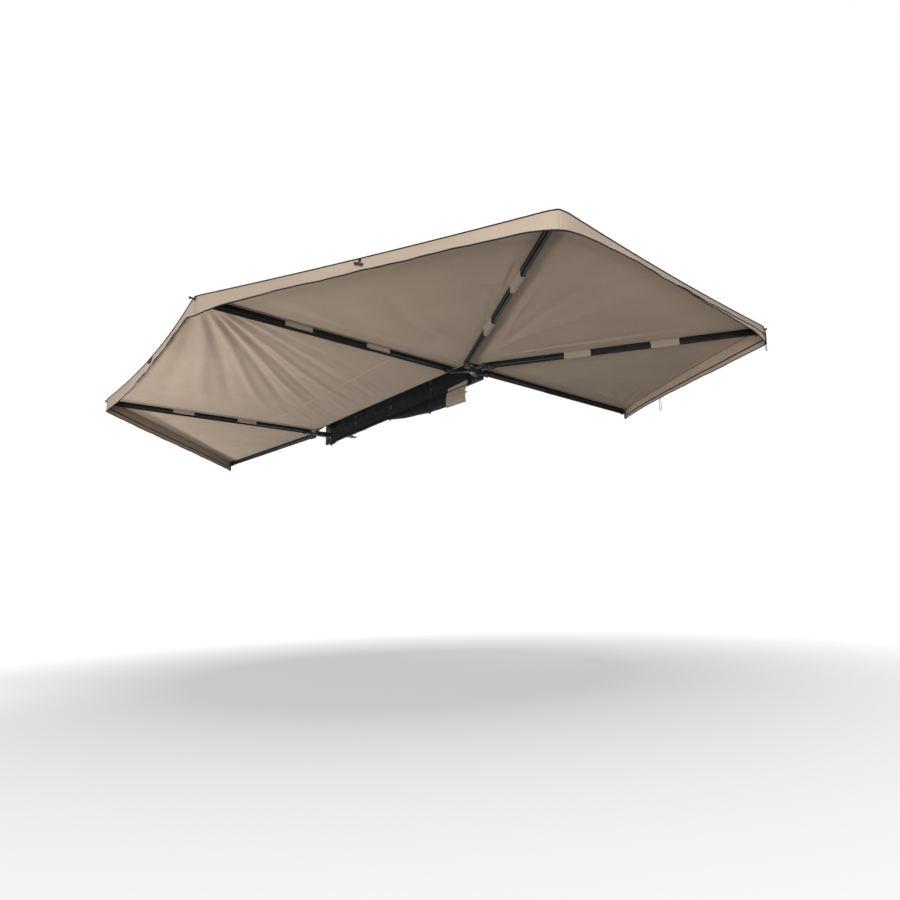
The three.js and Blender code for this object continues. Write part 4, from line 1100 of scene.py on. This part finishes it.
# The canvas's two free edges wrap over the outer arms: inside half, outside half and hanging part
SLEEVE_INSIDE = 0.0186
SLEEVE_OUTSIDE = 0.0172
SLEEVE_DROP = 0.030
SLEEVE_ROUND = 0.0030
SLEEVE_HANG_OUT = 0.0004
SLEEVE_CLOTH = 0.00072
SLEEVE_BINDING = (0.0016, 0.0045)
SLEEVE_SIDE_SHARES = (-1.0, -0.9, 0.0, 0.88, 0.98, 1.0)
SLEEVE_RISES = (0.0003, 0.0010, 0.0012, 0.0008, -0.0006, -SLEEVE_ROUND)
SLEEVE_FALL_SHARES = (0.33, 0.67, 1.0)
SLEEVE_WAVES = ((0.0007, 23, 0), (0.0005, 51, 0))
SLEEVE_STATIONS = 70


def edge_sleeve(arm, free_side):
    """Cloth folded over an outer arm and hanging on its free side; free_side is 1 for the left."""
    hang = SLEEVE_OUTSIDE + SLEEVE_HANG_OUT
    profile = [(share * (SLEEVE_INSIDE if share < 0 else SLEEVE_OUTSIDE), rise)
               for share, rise in zip(SLEEVE_SIDE_SHARES, SLEEVE_RISES)]
    profile += [(hang, -SLEEVE_ROUND - (SLEEVE_DROP - SLEEVE_ROUND) * share) for share in SLEEVE_FALL_SHARES]
    looseness = [max(0, i + 1 - len(SLEEVE_RISES)) for i in range(len(profile))]
    stations = np.linspace(SEAM_JOIN, REACH, SLEEVE_STATIONS)
    points = []
    for s in stations:
        slack = ripple(s, *SLEEVE_WAVES)
        points.append([on_arm(arm, s, free_side * (side + slack * loose), CANVAS_TOP + rise)
                       for (side, rise), loose in zip(profile, looseness)])
    uv = [(side - rise, s) for s in stations for side, rise in profile]
    sleeve = cloth(f"{body(arm)}_edge_sleeve", np.array(points), {"metres": uv, "edge": uv}, SLEEVE_CLOTH,
                   TAN_OUTSIDE, TAN_INSIDE, turned=free_side > 0)
    fit(sleeve, body(arm))
    low = [on_arm(arm, s, free_side * hang, CANVAS_TOP - SLEEVE_DROP) for s in stations]
    fit(tube(f"{body(arm)}_edge_binding", low, SLEEVE_BINDING, BLACK_PIPING), body(arm))


edge_sleeve(ARMS[1], -1)
edge_sleeve(ARMS[6], 1)


# Fabric loops round the middle arms: the radii of a section's lower and upper corners, the hems at
# both ends, and the slack beside and below the arm
LOOP_CORNERS = {"beam": (0.0035, 0.0025), "leg": (0.0085, 0.0025)}
LOOP_CORNER_STEPS = 5
LOOP_EDGE = 0.001
LOOP_HEM_LENGTH = 0.009
LOOP_HEM_CLEAR = 0.0018
LOOP_HEM_RISE = 0.0007
LOOP_SPREAD = 0.0002
LOOP_STATIONS = 12
LOOP_SLACK = 0.0012
LOOP_RIPPLE = 0.0006
LOOP_RIPPLE_RATE = 60
LOOP_SIDE_SLACK_SHARE = 0.3
LOOP_UV_STEP = 0.004


def rounded_section(half, low, high, radii):
    """Points round a rectangle, counted from its upper right corner; radii are the lower and upper."""
    corners = (
        (1, 1, radii[1], high), (-1, 1, radii[1], high), (-1, -1, radii[0], low), (1, -1, radii[0], low),
    )
    points = []
    for k, (sign_x, sign_z, radius, reach_z) in enumerate(corners):
        centre = (sign_x * (half - radius), reach_z - sign_z * radius)
        for i in range(LOOP_CORNER_STEPS):
            angle = math.pi / 2 * (k + i / (LOOP_CORNER_STEPS - 1))
            points.append((centre[0] + radius * math.cos(angle), centre[1] + radius * math.sin(angle)))
    return points


def loop_stations():
    """Places along a loop: close together at its hems."""
    ends = (0.0, LOOP_EDGE, LOOP_HEM_LENGTH)
    start = LOOP_HEM_LENGTH + LOOP_HEM_CLEAR
    inner = np.linspace(start, LOOP_LENGTH - start, LOOP_STATIONS)
    return [*ends, *inner, *(LOOP_LENGTH - end for end in reversed(ends))]


def make_loop(arm, place, start):
    low = LOOP_LOW[arm.loops]
    section = rounded_section(LOOP_OUTSIDE, low, LOOP_TOP, LOOP_CORNERS[arm.loops])
    stations = loop_stations()
    points, uv = [], []
    for s in stations:
        hem = LOOP_HEM_RISE if min(s, LOOP_LENGTH - s) < LOOP_HEM_LENGTH + LOOP_HEM_CLEAR / 2 else 0.0
        sag = LOOP_SLACK * math.sin(math.pi * s / LOOP_LENGTH)
        for k, (side, up) in enumerate(section):
            below = max(0.0, (BEAM_MIDDLE - up) / (BEAM_MIDDLE - low))
            slack = below * (sag + LOOP_RIPPLE * math.sin(LOOP_RIPPLE_RATE * s + k))
            pull = 1 + min(hem + LOOP_SIDE_SLACK_SHARE * slack, LOOP_SPREAD) / LOOP_OUTSIDE
            points.append(on_arm(arm, start + s, side * pull, up - below * (hem + slack)))
            uv.append((k * LOOP_UV_STEP, s))
    faces = grid_faces(len(stations), len(section), wrap=True)
    loop = add_mesh(f"{body(arm)}_{place}_loop_fabric", points, faces, TAN_LOOP, uv={"metres": uv})
    thicken(loop, LOOP_CLOTH)
    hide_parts(f"{body(arm)}_{place}_loop")
    fit(loop, body(arm))
    if arm.loops == "leg":
        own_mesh(loop)


for loop_number in (2, 3, 4, 5):
    for loop_place, loop_start in zip(("inner", "outer"), LOOP_PLACES):
        make_loop(ARMS[loop_number], loop_place, loop_start)


# Fastenings. A profile's shares are of the head's radius and of its height, from its seat up; a
# screw's height is its radius. CENTRE radii leave a small flat where a head closes.
WASHER_SHARES = ((0.5, 0.0), (1.35, 0.0), (1.35, 0.2), (1.2, 0.28), (0.5, 0.28))
WASHER_HEIGHT_SHARE = 0.28
HEAD_HEIGHT_SHARE = 0.72
HEAD_SHARES = ((0.92, 0.0), (1.0, 0.12), (1.0, 0.8), (0.86, 1.0))
HEAD_CENTRE = 0.0005
SCREW_SHARES = ((1.0, 0.0), (1.0, 0.15), (0.85, 0.42), (0.5, 0.55), (0.42, 0.5), (0.38, 0.22))
RECESS_SHARE = 0.2
RECESS_CENTRE = 0.0002


def profile_of(shares, radius, height):
    return [(radius * out, height * up) for out, up in shares]


def bolt(name, place, axis, radius, height):
    """A hexagon head on a washer."""
    axis = np.asarray(axis, float)
    washer = lathe(f"{name}_washer", profile_of(WASHER_SHARES, radius, height), place, axis, STEEL)
    head_height = height * HEAD_HEIGHT_SHARE
    profile = profile_of(HEAD_SHARES, radius, head_height) + [(HEAD_CENTRE, head_height)]
    head_place = np.asarray(place) + axis * height * WASHER_HEIGHT_SHARE
    return join(name, [washer, lathe(f"{name}_head", profile, head_place, axis, STEEL, sides=6)])


def screw(name, place, axis, radius):
    """A domed screw head with a round recess."""
    profile = profile_of(SCREW_SHARES, radius, radius) + [(RECESS_CENTRE, radius * RECESS_SHARE)]
    return lathe(name, profile, place, axis, STEEL, sides=18)


# A peg's knob and the eyelet round it, along the arm
PEG_CAP_LENGTH = 0.014
PEG_CAP_STANDOFF = 0.002
PEG_CAP_CENTRE = 0.0004
PEG_CAP_RADIUS_SHARES = (1.0, 1.35, 1.45, 1.45, 1.1)
PEG_CAP_HEIGHTS = (0.0, 0.0015, 0.005, 0.010, 0.0135)
EYELET_PROFILE = ((0.0068, 0.0), (0.0105, 0.0), (0.0115, 0.0012), (0.0105, 0.0026), (0.0072, 0.0028),
                  (0.0062, 0.0014))
EYELET_SINK = 0.0002


def peg_fittings(arm, name):
    """The peg's knob, and the eyelet it comes out through."""
    cap = [(PEG_RADIUS * share, height) for share, height in zip(PEG_CAP_RADIUS_SHARES, PEG_CAP_HEIGHTS)]
    cap.append((PEG_CAP_CENTRE, PEG_CAP_LENGTH))
    start = on_arm(arm, PEG_ENDS[arm.number] - PEG_CAP_LENGTH + PEG_CAP_STANDOFF, 0.0, BEAM_MIDDLE)
    fit(lathe(f"{name}_peg_cap", cap, start, along(arm), BLACK_PLASTIC), name)
    ring_place = on_arm(arm, REACH - EYELET_SINK - CORNER_INSETS[arm.number], 0.0, BEAM_MIDDLE)
    fit(lathe(f"{name}_eyelet", EYELET_PROFILE, ring_place, along(arm), KNUCKLE_BLACK), name)


# Screws in both sides of each arm: two in the tip fitting and two in the hinge leaf
TIP_SCREW_INSET = 0.010
LEAF_SCREW_INSET = 0.012
CHEEK_SCREW_INSET = 0.022
CHEEK_SCREW_DROP = 0.008
ARM_SCREW_PLACES = (
    (BEAM_END + TIP_SCREW_INSET, BEAM_MIDDLE), (TIP_END - TIP_SCREW_INSET, BEAM_MIDDLE),
    (BLOCK_START + LEAF_SCREW_INSET, BEAM_MIDDLE),
    (BEAM_START + CHEEK_SCREW_INSET, BEAM_BOTTOM - CHEEK_SCREW_DROP),
)
ARM_SCREW_RADIUS = 0.0030
ARM_SCREW_SINK = 0.0003
HINGE_SCREW_RADIUS = 0.0032
HINGE_SCREW_SINK = 0.0004


def arm_screws(arm, name):
    for k, sign in enumerate((-1, 1)):
        axis = across(arm) * sign
        for j, (s, up) in enumerate(ARM_SCREW_PLACES):
            place = on_arm(arm, s, sign * (BEAM_HALF - ARM_SCREW_SINK), up)
            fit(screw(f"{name}_screw_{k}{j}", place, axis, ARM_SCREW_RADIUS), name)
        hinge = on_arm(arm, HINGE_S, sign * (BEAM_HALF - HINGE_SCREW_SINK), LEG_RADIUS)
        fit(screw(f"{name}_hinge_screw_{k}", hinge, axis, HINGE_SCREW_RADIUS), name)


# The ribbed boot over a pole's foot
BOOT_HOLE_RADIUS = 0.0040
BOOT_EDGE = 0.0006
BOOT_ROUND = 0.0015
BOOT_RIB = 0.0004
BOOT_RIBS = 11
BOOT_RIB_START = 0.004
BOOT_RIB_STEP = 0.003
BOOT_LIP = 0.0005
BOOT_SINK = 0.0003


def foot_boot(arm, name):
    profile = [(BOOT_HOLE_RADIUS, 0.0), (LEG_RADIUS - BOOT_EDGE, 0.0), (LEG_RADIUS + BOOT_RIB, BOOT_ROUND)]
    profile += [(LEG_RADIUS + (BOOT_RIB if k % 2 else 0.0), BOOT_RIB_START + BOOT_RIB_STEP * k)
                for k in range(BOOT_RIBS)]
    profile.append((LEG_RADIUS - BOOT_LIP, FOOT_LENGTH))
    place = on_arm(arm, FOOT_S - BOOT_SINK, 0.0, LEG_RADIUS)
    boot = lathe(f"{name}_foot_boot", profile, place, along(arm), RUBBER)
    fit(boot, f"{name}_pole")


for fitted_arm in ARMS.values():
    arm_screws(fitted_arm, body(fitted_arm))
    if fitted_arm.number in PEG_ENDS:
        peg_fittings(fitted_arm, body(fitted_arm))
    foot_boot(fitted_arm, body(fitted_arm))

# Nuts and screws of the knuckles: a screw's places are from the pin along x, and in height
PIVOT_NUT_RADIUS = 0.0105
PIVOT_NUT_HEIGHT = 0.0085
PIVOT_NUT_SINK = 0.0008
FLANGE_SCREW_RADIUS = 0.0038
FLANGE_SCREW_SINK = 0.0002
REAR_FLANGE_SCREWS = ((0.092, 0.012), (0.131, 0.012), (0.092, 0.094), (0.131, 0.094))
FRONT_FLANGE_SCREWS = ((-0.050, 0.058), (0.050, 0.058), (-0.050, 0.134), (0.050, 0.134))


def knuckle_fittings(name, x, level, screw_places):
    top = level + KNUCKLE_HEIGHT - PIVOT_NUT_SINK
    for place, z, up in (("top", top, 1), ("bottom", level + PIVOT_NUT_SINK, -1)):
        nut = bolt(f"{name}_{place}_nut", (x, PIN_Y, z), (0, 0, up), PIVOT_NUT_RADIUS, PIVOT_NUT_HEIGHT)
        fit(nut, "root")
    for k, (screw_x, screw_z) in enumerate(screw_places):
        place = (x + screw_x, FLANGE_FACE_Y - FLANGE_SCREW_SINK, screw_z)
        fit(screw(f"{name}_screw_{k}", place, (0, 1, 0), FLANGE_SCREW_RADIUS), "root")


knuckle_fittings("rear_knuckle", REAR_PIN_X, REAR_LEVEL, REAR_FLANGE_SCREWS)
knuckle_fittings("front_knuckle", FRONT_PIN_X, FRONT_LEVEL, FRONT_FLANGE_SCREWS)

# Bolts of the brackets, in the rack's bar and in the rail's back: a bolt is its radius and height
FOOT_BOLT = (0.0065, 0.0070)
RAIL_BOLT = (0.0055, 0.0055)
RAIL_BOLT_SIDE = 0.018
RAIL_BOLT_HEIGHTS = (0.085, 0.108)
BRACKET_WEB = 0.0053


def bracket_fittings(name, x):
    for k, sign in enumerate((-1, 1)):
        foot = (x + sign * BRACKET_SLOT_SIDE, 0.0, BRACKET_PLATE)
        fit(bolt(f"{name}_foot_bolt_{k}", foot, (0, 0, 1), *FOOT_BOLT), "root")
        for j, z in enumerate(RAIL_BOLT_HEIGHTS):
            place = (x + sign * RAIL_BOLT_SIDE, RAIL_BACK_Y - BRACKET_WEB, z)
            fit(bolt(f"{name}_rail_bolt_{k}{j}", place, (0, -1, 0), *RAIL_BOLT), "root")


bracket_fittings("rear_bracket", -BRACKET_SPACING)
bracket_fittings("middle_bracket", 0.0)
bracket_fittings("front_bracket", BRACKET_SPACING)

RAIL_CAP_THICKNESS = 0.0043
CAP_SCREW_HEIGHTS = (0.030, 0.060)
CAP_SCREW_RADIUS = 0.0040


def cap_fittings(name, rail_end, sign):
    for k, z in enumerate(CAP_SCREW_HEIGHTS):
        place = (rail_end + sign * RAIL_CAP_THICKNESS, (RAIL_FACE_Y + RAIL_BACK_Y) / 2, z)
        fit(screw(f"{name}_screw_{k}", place, (sign, 0, 0), CAP_SCREW_RADIUS), "root")


cap_fittings("rear_cap", RAIL_REAR_X, -1)
cap_fittings("front_cap", RAIL_FRONT_X, 1)


# Travel bag: its folds are deep below the arms' level and slight where the arms pass
BAG_ROWS = 30
BAG_COLUMNS = 150
BAG_THICKNESS = 0.0016
BAG_FOLD = 0.0042
BAG_CREASE = 0.0012
BAG_RIPPLE = 0.0008
BAG_FOLD_START = 0.03
BAG_UPPER_SHARE = 0.4
BAG_UPPER_START_Z = 0.076
BAG_TOP_HOLD = 0.02
BAG_STRAP_HOLD = 0.10
BAG_HEM_WAVE = (0.004, 9, 0)
BAG_FOLD_RATES = (17.0, 20.0)
BAG_FOLD_WANDER = (3.0, 5, 0)
BAG_CREASE_RATES = (53.0, -30.0)
BAG_CREASE_PHASE = 1.7
BAG_ZIP_RISE = 0.004
BAG_ZIP_SIZES = (0.0030, 0.0060)
BAG_EDGE_SIZES = (0.0055, 0.0016)
TRIM_LIFT = np.array([0.0, 0.0006, 0.0])


def bag_drop_share(x):
    return np.interp((x - BAG_REAR_X) / (BAG_FRONT_X - BAG_REAR_X), BAG_STATION_SHARES, BAG_DROP_SHARES)


def bag_bottom(x):
    return BAG_BULGE_TOP_Z - BAG_DROP * bag_drop_share(x)


def bag_bulge(x, z):
    """How far out the hanging bag lies at a height."""
    share = bag_drop_share(x)
    bulge = BAG_BULGE * (BAG_LEAST_BULGE_SHARE + (1 - BAG_LEAST_BULGE_SHARE) * share)
    downs, outs = zip((0.0, 0.0), *BAG_COLUMN_SHARES)
    return bulge * np.interp((BAG_BULGE_TOP_Z - z) / (BAG_DROP * share), downs, outs)


def bag_slack(x, z):
    """How far the slack cloth's folds stand out at a place."""
    free = smooth_step((BAG_BULGE_TOP_Z - z) / BAG_FOLD_START)
    upper = BAG_UPPER_SHARE * smooth_step((z - BAG_UPPER_START_Z) / BAG_FOLD_START)
    free = free + upper * smooth_step((BAG_TOP_Z - z) / BAG_TOP_HOLD)
    fold_phase = BAG_FOLD_RATES[0] * x + ripple(x, BAG_FOLD_WANDER) + BAG_FOLD_RATES[1] * z
    folds = 0.5 + 0.5 * np.sin(fold_phase)
    creases = 0.5 + 0.5 * np.sin(BAG_CREASE_RATES[0] * x + BAG_CREASE_RATES[1] * z + BAG_CREASE_PHASE)
    hold = smooth_step(min(abs(x - place) for place in STRAP_PLACES) / BAG_STRAP_HOLD)
    return (BAG_FOLD * folds + BAG_CREASE * creases) * hold * free + BAG_RIPPLE * creases


def bag_point(x, z):
    return np.array([x, BAG_OUTER_Y + bag_bulge(x, z) + bag_slack(x, z), z])


def hung_uv(points):
    """Metres along and down a hanging sheet."""
    return {"metres": points[:, :, [0, 2]].reshape(-1, 2)}


def make_bag():
    xs = np.linspace(BAG_REAR_X, BAG_FRONT_X, BAG_COLUMNS)
    drops = [bag_bottom(x) + ripple(x, BAG_HEM_WAVE) - BAG_TOP_Z for x in xs]
    points = np.array([[bag_point(x, BAG_TOP_Z + drop * share) for x, drop in zip(xs, drops)]
                       for share in np.arange(BAG_ROWS) / (BAG_ROWS - 1)])
    bag = cloth("travel_bag_cloth", points, hung_uv(points), BAG_THICKNESS, BAG_CLOTH, turned=True)
    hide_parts("travel_bag")
    fit(bag, "root")
    zipper = tube("travel_bag_zip", points[-1] + UP * BAG_ZIP_RISE, BAG_ZIP_SIZES, BLACK_WEBBING)
    fit(zipper, "root")
    for column, label in ((0, "rear"), (-1, "front")):
        normals = np.tile([0.0, 1.0, 0.0], (BAG_ROWS, 1))
        edge = tube(f"travel_bag_{label}_edge", points[:, column] + TRIM_LIFT, BAG_EDGE_SIZES, BLACK_PIPING,
                    normals=normals)
        fit(edge, "root")


make_bag()

# Straps down the bag, each with two buckles of a plate, two bars and two rivets
STRAP_LIFT = 0.0018
STRAP_THICKNESS = 0.0014
STRAP_OVERHANG = 0.010
STRAP_STATIONS = 26
BUCKLE_HALVES = (0.0175, 0.0010, 0.0118)
BUCKLE_SINK = 0.0002
BUCKLE_EDGE = 0.0008
BUCKLE_BAR_HALVES = (0.015, 0.0006, 0.0016)
BUCKLE_BAR_EDGE = 0.0004
BUCKLE_BAR_OUT = 0.0017
BUCKLE_BAR_UP = 0.009
BUCKLE_RIVET_RADIUS = 0.0016
BUCKLE_RIVET_OUT = 0.0019
BUCKLE_RIVET_SIDE = 0.0140


def make_buckle(index, k, x, base, z):
    name = f"bag_buckle_{index}{k}"
    plate_place = (x, base + BUCKLE_HALVES[1], z)
    parts = [block(f"{name}_body", plate_place, BUCKLE_HALVES, BLACK_PLASTIC, BUCKLE_EDGE)]
    for sign in (-1, 1):
        bar_place = (x, base + BUCKLE_BAR_OUT, z + sign * BUCKLE_BAR_UP)
        parts.append(block(f"{name}_bar{sign}", bar_place, BUCKLE_BAR_HALVES, STEEL, BUCKLE_BAR_EDGE))
        rivet_place = (x + sign * BUCKLE_RIVET_SIDE, base + BUCKLE_RIVET_OUT, z)
        parts.append(screw(f"{name}_rivet{sign}", rivet_place, (0, 1, 0), BUCKLE_RIVET_RADIUS))
    fit(join(f"bag_buckle_{index}_{k}", parts), "root")


def make_strap(index, x):
    zs = np.linspace(STRAP_TOP_Z, bag_bottom(x) - STRAP_OVERHANG, STRAP_STATIONS)
    offsets = (-STRAP_WIDTH / 2, 0.0, STRAP_WIDTH / 2)
    points = np.array([[bag_point(x, z) + (offset, STRAP_LIFT, 0.0) for offset in offsets] for z in zs])
    uv = {"metres": [(offset, z) for z in zs for offset in offsets]}
    strap = cloth(f"bag_strap_{index}_web", points, uv, STRAP_THICKNESS, BLACK_WEBBING, turned=True)
    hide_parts(f"bag_strap_{index}")
    fit(strap, "root")
    for k, z in enumerate(BUCKLE_HEIGHTS):
        make_buckle(index, k, x, bag_point(x, z)[1] + STRAP_LIFT - BUCKLE_SINK, z)


for strap_index, strap_x in enumerate(STRAP_PLACES, 1):
    make_strap(strap_index, strap_x)


# Tan flap over the bag's rear end, wavier the lower it hangs
FLAP_ROWS = 34
FLAP_COLUMNS = 30
FLAP_THICKNESS = 0.0014
FLAP_WAVE = 0.0016
FLAP_WAVE_RATES = (60.0, 9.0)
FLAP_SLACK_TOP_Z = 0.01
FLAP_SLACK_START = 0.05
FLAP_LINE_SIZES = (0.0014, 0.0070)


def flap_point(share, down):
    x = FLAP_REAR_X + (FLAP_FRONT_X - FLAP_REAR_X) * share
    top, bottom = np.interp(share, (0, 1), FLAP_TOPS), np.interp(share, (0, 1), FLAP_BOTTOMS)
    z = top + (bottom - top) * down
    under = bag_point(x, max(z, float(bag_bottom(x))))[1]
    wave = FLAP_WAVE * (1 + math.sin(FLAP_WAVE_RATES[0] * x + FLAP_WAVE_RATES[1] * down))
    return x, under + FLAP_LIFT + wave * smooth_step((FLAP_SLACK_TOP_Z - z) / FLAP_SLACK_START), z


def make_flap():
    points = np.array([[flap_point(share, down) for share in np.linspace(0, 1, FLAP_COLUMNS)]
                       for down in np.linspace(0, 1, FLAP_ROWS)])
    flap = cloth("end_flap_cloth", points, hung_uv(points), FLAP_THICKNESS, TAN_FLAP, turned=True)
    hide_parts("end_flap")
    fit(flap, "root")
    row = int(round(FLAP_LINE_SHARE * (FLAP_ROWS - 1)))
    line = tube("end_flap_line", points[row] + TRIM_LIFT, FLAP_LINE_SIZES, BLACK_PIPING)
    fit(line, "root")


make_flap()


# Toggles on the valance, each a waisted barrel on a short strap. They are given by the share of their
# panel's width where they hang, and by their tilt in radians.
TOGGLE_RADIUS = 0.0080
TOGGLE_DROP = 0.040
TOGGLE_GAP = 0.0035
TOGGLE_RADIUS_SHARES = (0.55, 0.95, 1.0, 0.7)
TOGGLE_HEIGHTS = (0.026, 0.023, 0.0104, 0.003)
TOGGLE_STRAP_SIZES = (0.0085, 0.0014)
TOGGLE_STRAP_TOP = 0.006
TOGGLE_STRAP_OFFS = (0.0022, 0.0035)
TOGGLE_STRAP_OVERLAP = 0.004
TOGGLES = (
    ("side_toggle", "canopy_side_panel", 0.46, 0.3),
    ("side_fan_toggle", "canopy_side_fan", 0.50, -0.4),
)


def make_toggle(name, panel, share, tilt):
    place = panel.place(share, TOGGLE_DROP) + panel.outward * (TOGGLE_RADIUS + TOGGLE_GAP)
    barrel_axis = np.cross(UP, panel.outward) * math.cos(tilt) + UP * math.sin(tilt)
    half = [(TOGGLE_RADIUS * out, height) for out, height in zip(TOGGLE_RADIUS_SHARES, TOGGLE_HEIGHTS)]
    profile = [(radius, -height) for radius, height in half] + half[::-1]
    barrel = lathe(f"{name}_barrel", profile, place, barrel_axis, BLACK_PLASTIC, sides=16)
    path = [panel.place(share, drop) + panel.outward * off
            for drop, off in zip((TOGGLE_STRAP_TOP, TOGGLE_DROP / 2), TOGGLE_STRAP_OFFS)]
    path.append(place + UP * TOGGLE_STRAP_OVERLAP)
    normals = [panel.outward] * len(path)
    strap = tube(f"{name}_strap", path, TOGGLE_STRAP_SIZES, BLACK_WEBBING, normals=normals)
    piece = join(name, [barrel, strap])
    panel.move(piece)


for toggle_name, toggle_panel, toggle_share, toggle_tilt in TOGGLES:
    make_toggle(toggle_name, PANELS[toggle_panel], toggle_share, toggle_tilt)


# Cord loops, hanging from the hem at the rear corner and beside the last arm
CORD_SIDE_SHARES = ((0.55, 0.0), (0.85, 0.3), (1.0, 0.65))
CORD_ARC_DEGREES = (0, 22.5, 45, 67.5)
CORD_STEPS = 7
CORD_HEM_COLUMNS = 3


def catmull(points):
    """A smooth curve through points."""
    points = [2 * points[0] - points[1], *points, 2 * points[-1] - points[-2]]
    path = []
    for p0, p1, p2, p3 in zip(points, points[1:], points[2:], points[3:]):
        for u in np.linspace(0, 1, CORD_STEPS, endpoint=False):
            path.append(0.5 * (2 * p1 + (p2 - p0) * u + (2 * p0 - 5 * p1 + 4 * p2 - p3) * u ** 2
                               + (3 * p1 - p0 - 3 * p2 + p3) * u ** 3))
    return np.array(path + [points[-2]])


def cord_loop(name, node, top, direction, width, drop):
    half = width / 2
    straight = drop - half
    left = [(-half * out, straight * down) for out, down in CORD_SIDE_SHARES]
    left += [(-half * math.cos(turn), straight + half * math.sin(turn))
             for turn in map(math.radians, CORD_ARC_DEGREES)]
    flat = left + [(0.0, drop)] + [(-side, fall) for side, fall in reversed(left)]
    path = catmull([top + direction * side - UP * fall for side, fall in flat])
    ups = moving_frames(path, np.cross(direction, UP))
    radius = CORD_DIAMETER / 2
    piece = tube(name, path, (radius, radius), BLACK_CORD, sides=12, normals=ups)
    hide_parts(node)
    return piece


def make_cord_loops():
    for name, panel, share, width, drop in (
            ("corner_cord", PANELS["canopy_rear_fan"], 0.0, CORNER_CORD_WIDTH, CORNER_CORD_DROP),
            ("hem_cord", PANELS["canopy_far_fan"], HEM_CORD_SHARE, HEM_CORD_WIDTH, HEM_CORD_DROP)):
        column = int(round(share * (panel.columns - 1)))
        direction = unit(panel.hem[column + CORD_HEM_COLUMNS] - panel.hem[column])
        top = panel.hem[column] + direction * width / 2 - UP * CORD_HANG
        panel.move(cord_loop(name, f"{name}_loop", top, direction, width, drop))


make_cord_loops()


# Floor, light and background: the floor whitens away from its centre between the two distances
FLOOR_HALF = 40.0
FLOOR_COLOUR = (0.30, 0.30, 0.30, 1.0)
FLOOR_WHITE_SHARE = 0.53
FLOOR_CENTRE = (-0.9, 0.6)
FLOOR_FADE = (1.4, 4.0)
WORLD_LIGHT = 0.16
Lamp = namedtuple("Lamp", "place target size power")
LAMPS = {
    "overhead": Lamp((0.5, 1.0, 7.0), (0.2, 0.6, 0.0), 5.0, 290.0),
    "side": Lamp((-7.0, 5.0, -0.8), (-1.8, 1.0, 0.0), 3.0, 400.0),
    "low_outer": Lamp((0.2, 3.6, -1.9), (-0.2, 1.9, 0.1), 0.6, 58.0),
    "rear_low": Lamp((-4.6, -0.6, -1.9), (-2.6, 0.0, 0.05), 0.6, 12.0),
    "front_low": Lamp((4.6, 2.2, -1.8), (1.6, 1.2, 0.1), 0.7, 86.0),
}


def when_seen(tree):
    """1 where the camera or a mirroring face looks, 0 where light only falls."""
    rays = tree.nodes.new("ShaderNodeLightPath").outputs
    either = tree.nodes.new("ShaderNodeMath")
    either.operation = "MAXIMUM"
    tree.links.new(rays["Is Camera Ray"], either.inputs[0])
    tree.links.new(rays["Is Glossy Ray"], either.inputs[1])
    return either.outputs[0]


def mix_to(tree, share, first, second, output_name):
    """Sends a mix of two shaders to an output."""
    mix = tree.nodes.new("ShaderNodeMixShader")
    for value, socket in zip((share, first.outputs[0], second.outputs[0]), mix.inputs):
        tree.links.new(value, socket)
    tree.links.new(mix.outputs[0], tree.nodes[output_name].inputs["Surface"])


def make_floor():
    points = [(FLOOR_HALF * x, FLOOR_HALF * y, FLOOR_Z) for x, y in ((-1, -1), (1, -1), (1, 1), (-1, 1))]
    shade = Shade("floor", 0.9, specular=0.0)
    shade.shader.inputs["Base Color"].default_value = FLOOR_COLOUR
    from_centre = shade.feed(shade.node("VectorMath", operation="DISTANCE"), Vector=shade.coordinates)
    from_centre.inputs[1].default_value = (*FLOOR_CENTRE, FLOOR_Z)
    fade = shade.spread(from_centre.outputs["Value"], FLOOR_WHITE_SHARE, 1.0, at=FLOOR_FADE)
    white = shade.maths("MULTIPLY", fade, when_seen(shade.tree))
    mix_to(shade.tree, white, shade.shader, shade.node("Emission"), "Material Output")
    add_mesh("floor", points, [(0, 1, 2, 3)], shade.material)


def make_world():
    world = bpy.data.worlds.new("studio")
    world.use_nodes = True
    tree = world.node_tree
    light, backdrop = tree.nodes["Background"], tree.nodes.new("ShaderNodeBackground")
    for node, strength in ((light, WORLD_LIGHT), (backdrop, 1.0)):
        node.inputs["Color"].default_value = (1.0, 1.0, 1.0, 1.0)
        node.inputs["Strength"].default_value = strength
    mix_to(tree, when_seen(tree), light, backdrop, "World Output")
    bpy.context.scene.world = world


def make_lamp(name, lamp):
    data = bpy.data.lights.new(name, "AREA")
    data.shape = "SQUARE"
    data.size = lamp.size
    data.energy = lamp.power
    piece = add_object(name, data)
    piece.location = lamp.place
    piece.rotation_mode = "QUATERNION"
    piece.rotation_quaternion = (Vector(lamp.target) - Vector(lamp.place)).to_track_quat("-Z", "Y")
    piece.visible_camera = False


make_floor()
make_world()
for lamp_name, studio_lamp in LAMPS.items():
    make_lamp(lamp_name, studio_lamp)
bpy.context.scene.view_settings.view_transform = "Standard"
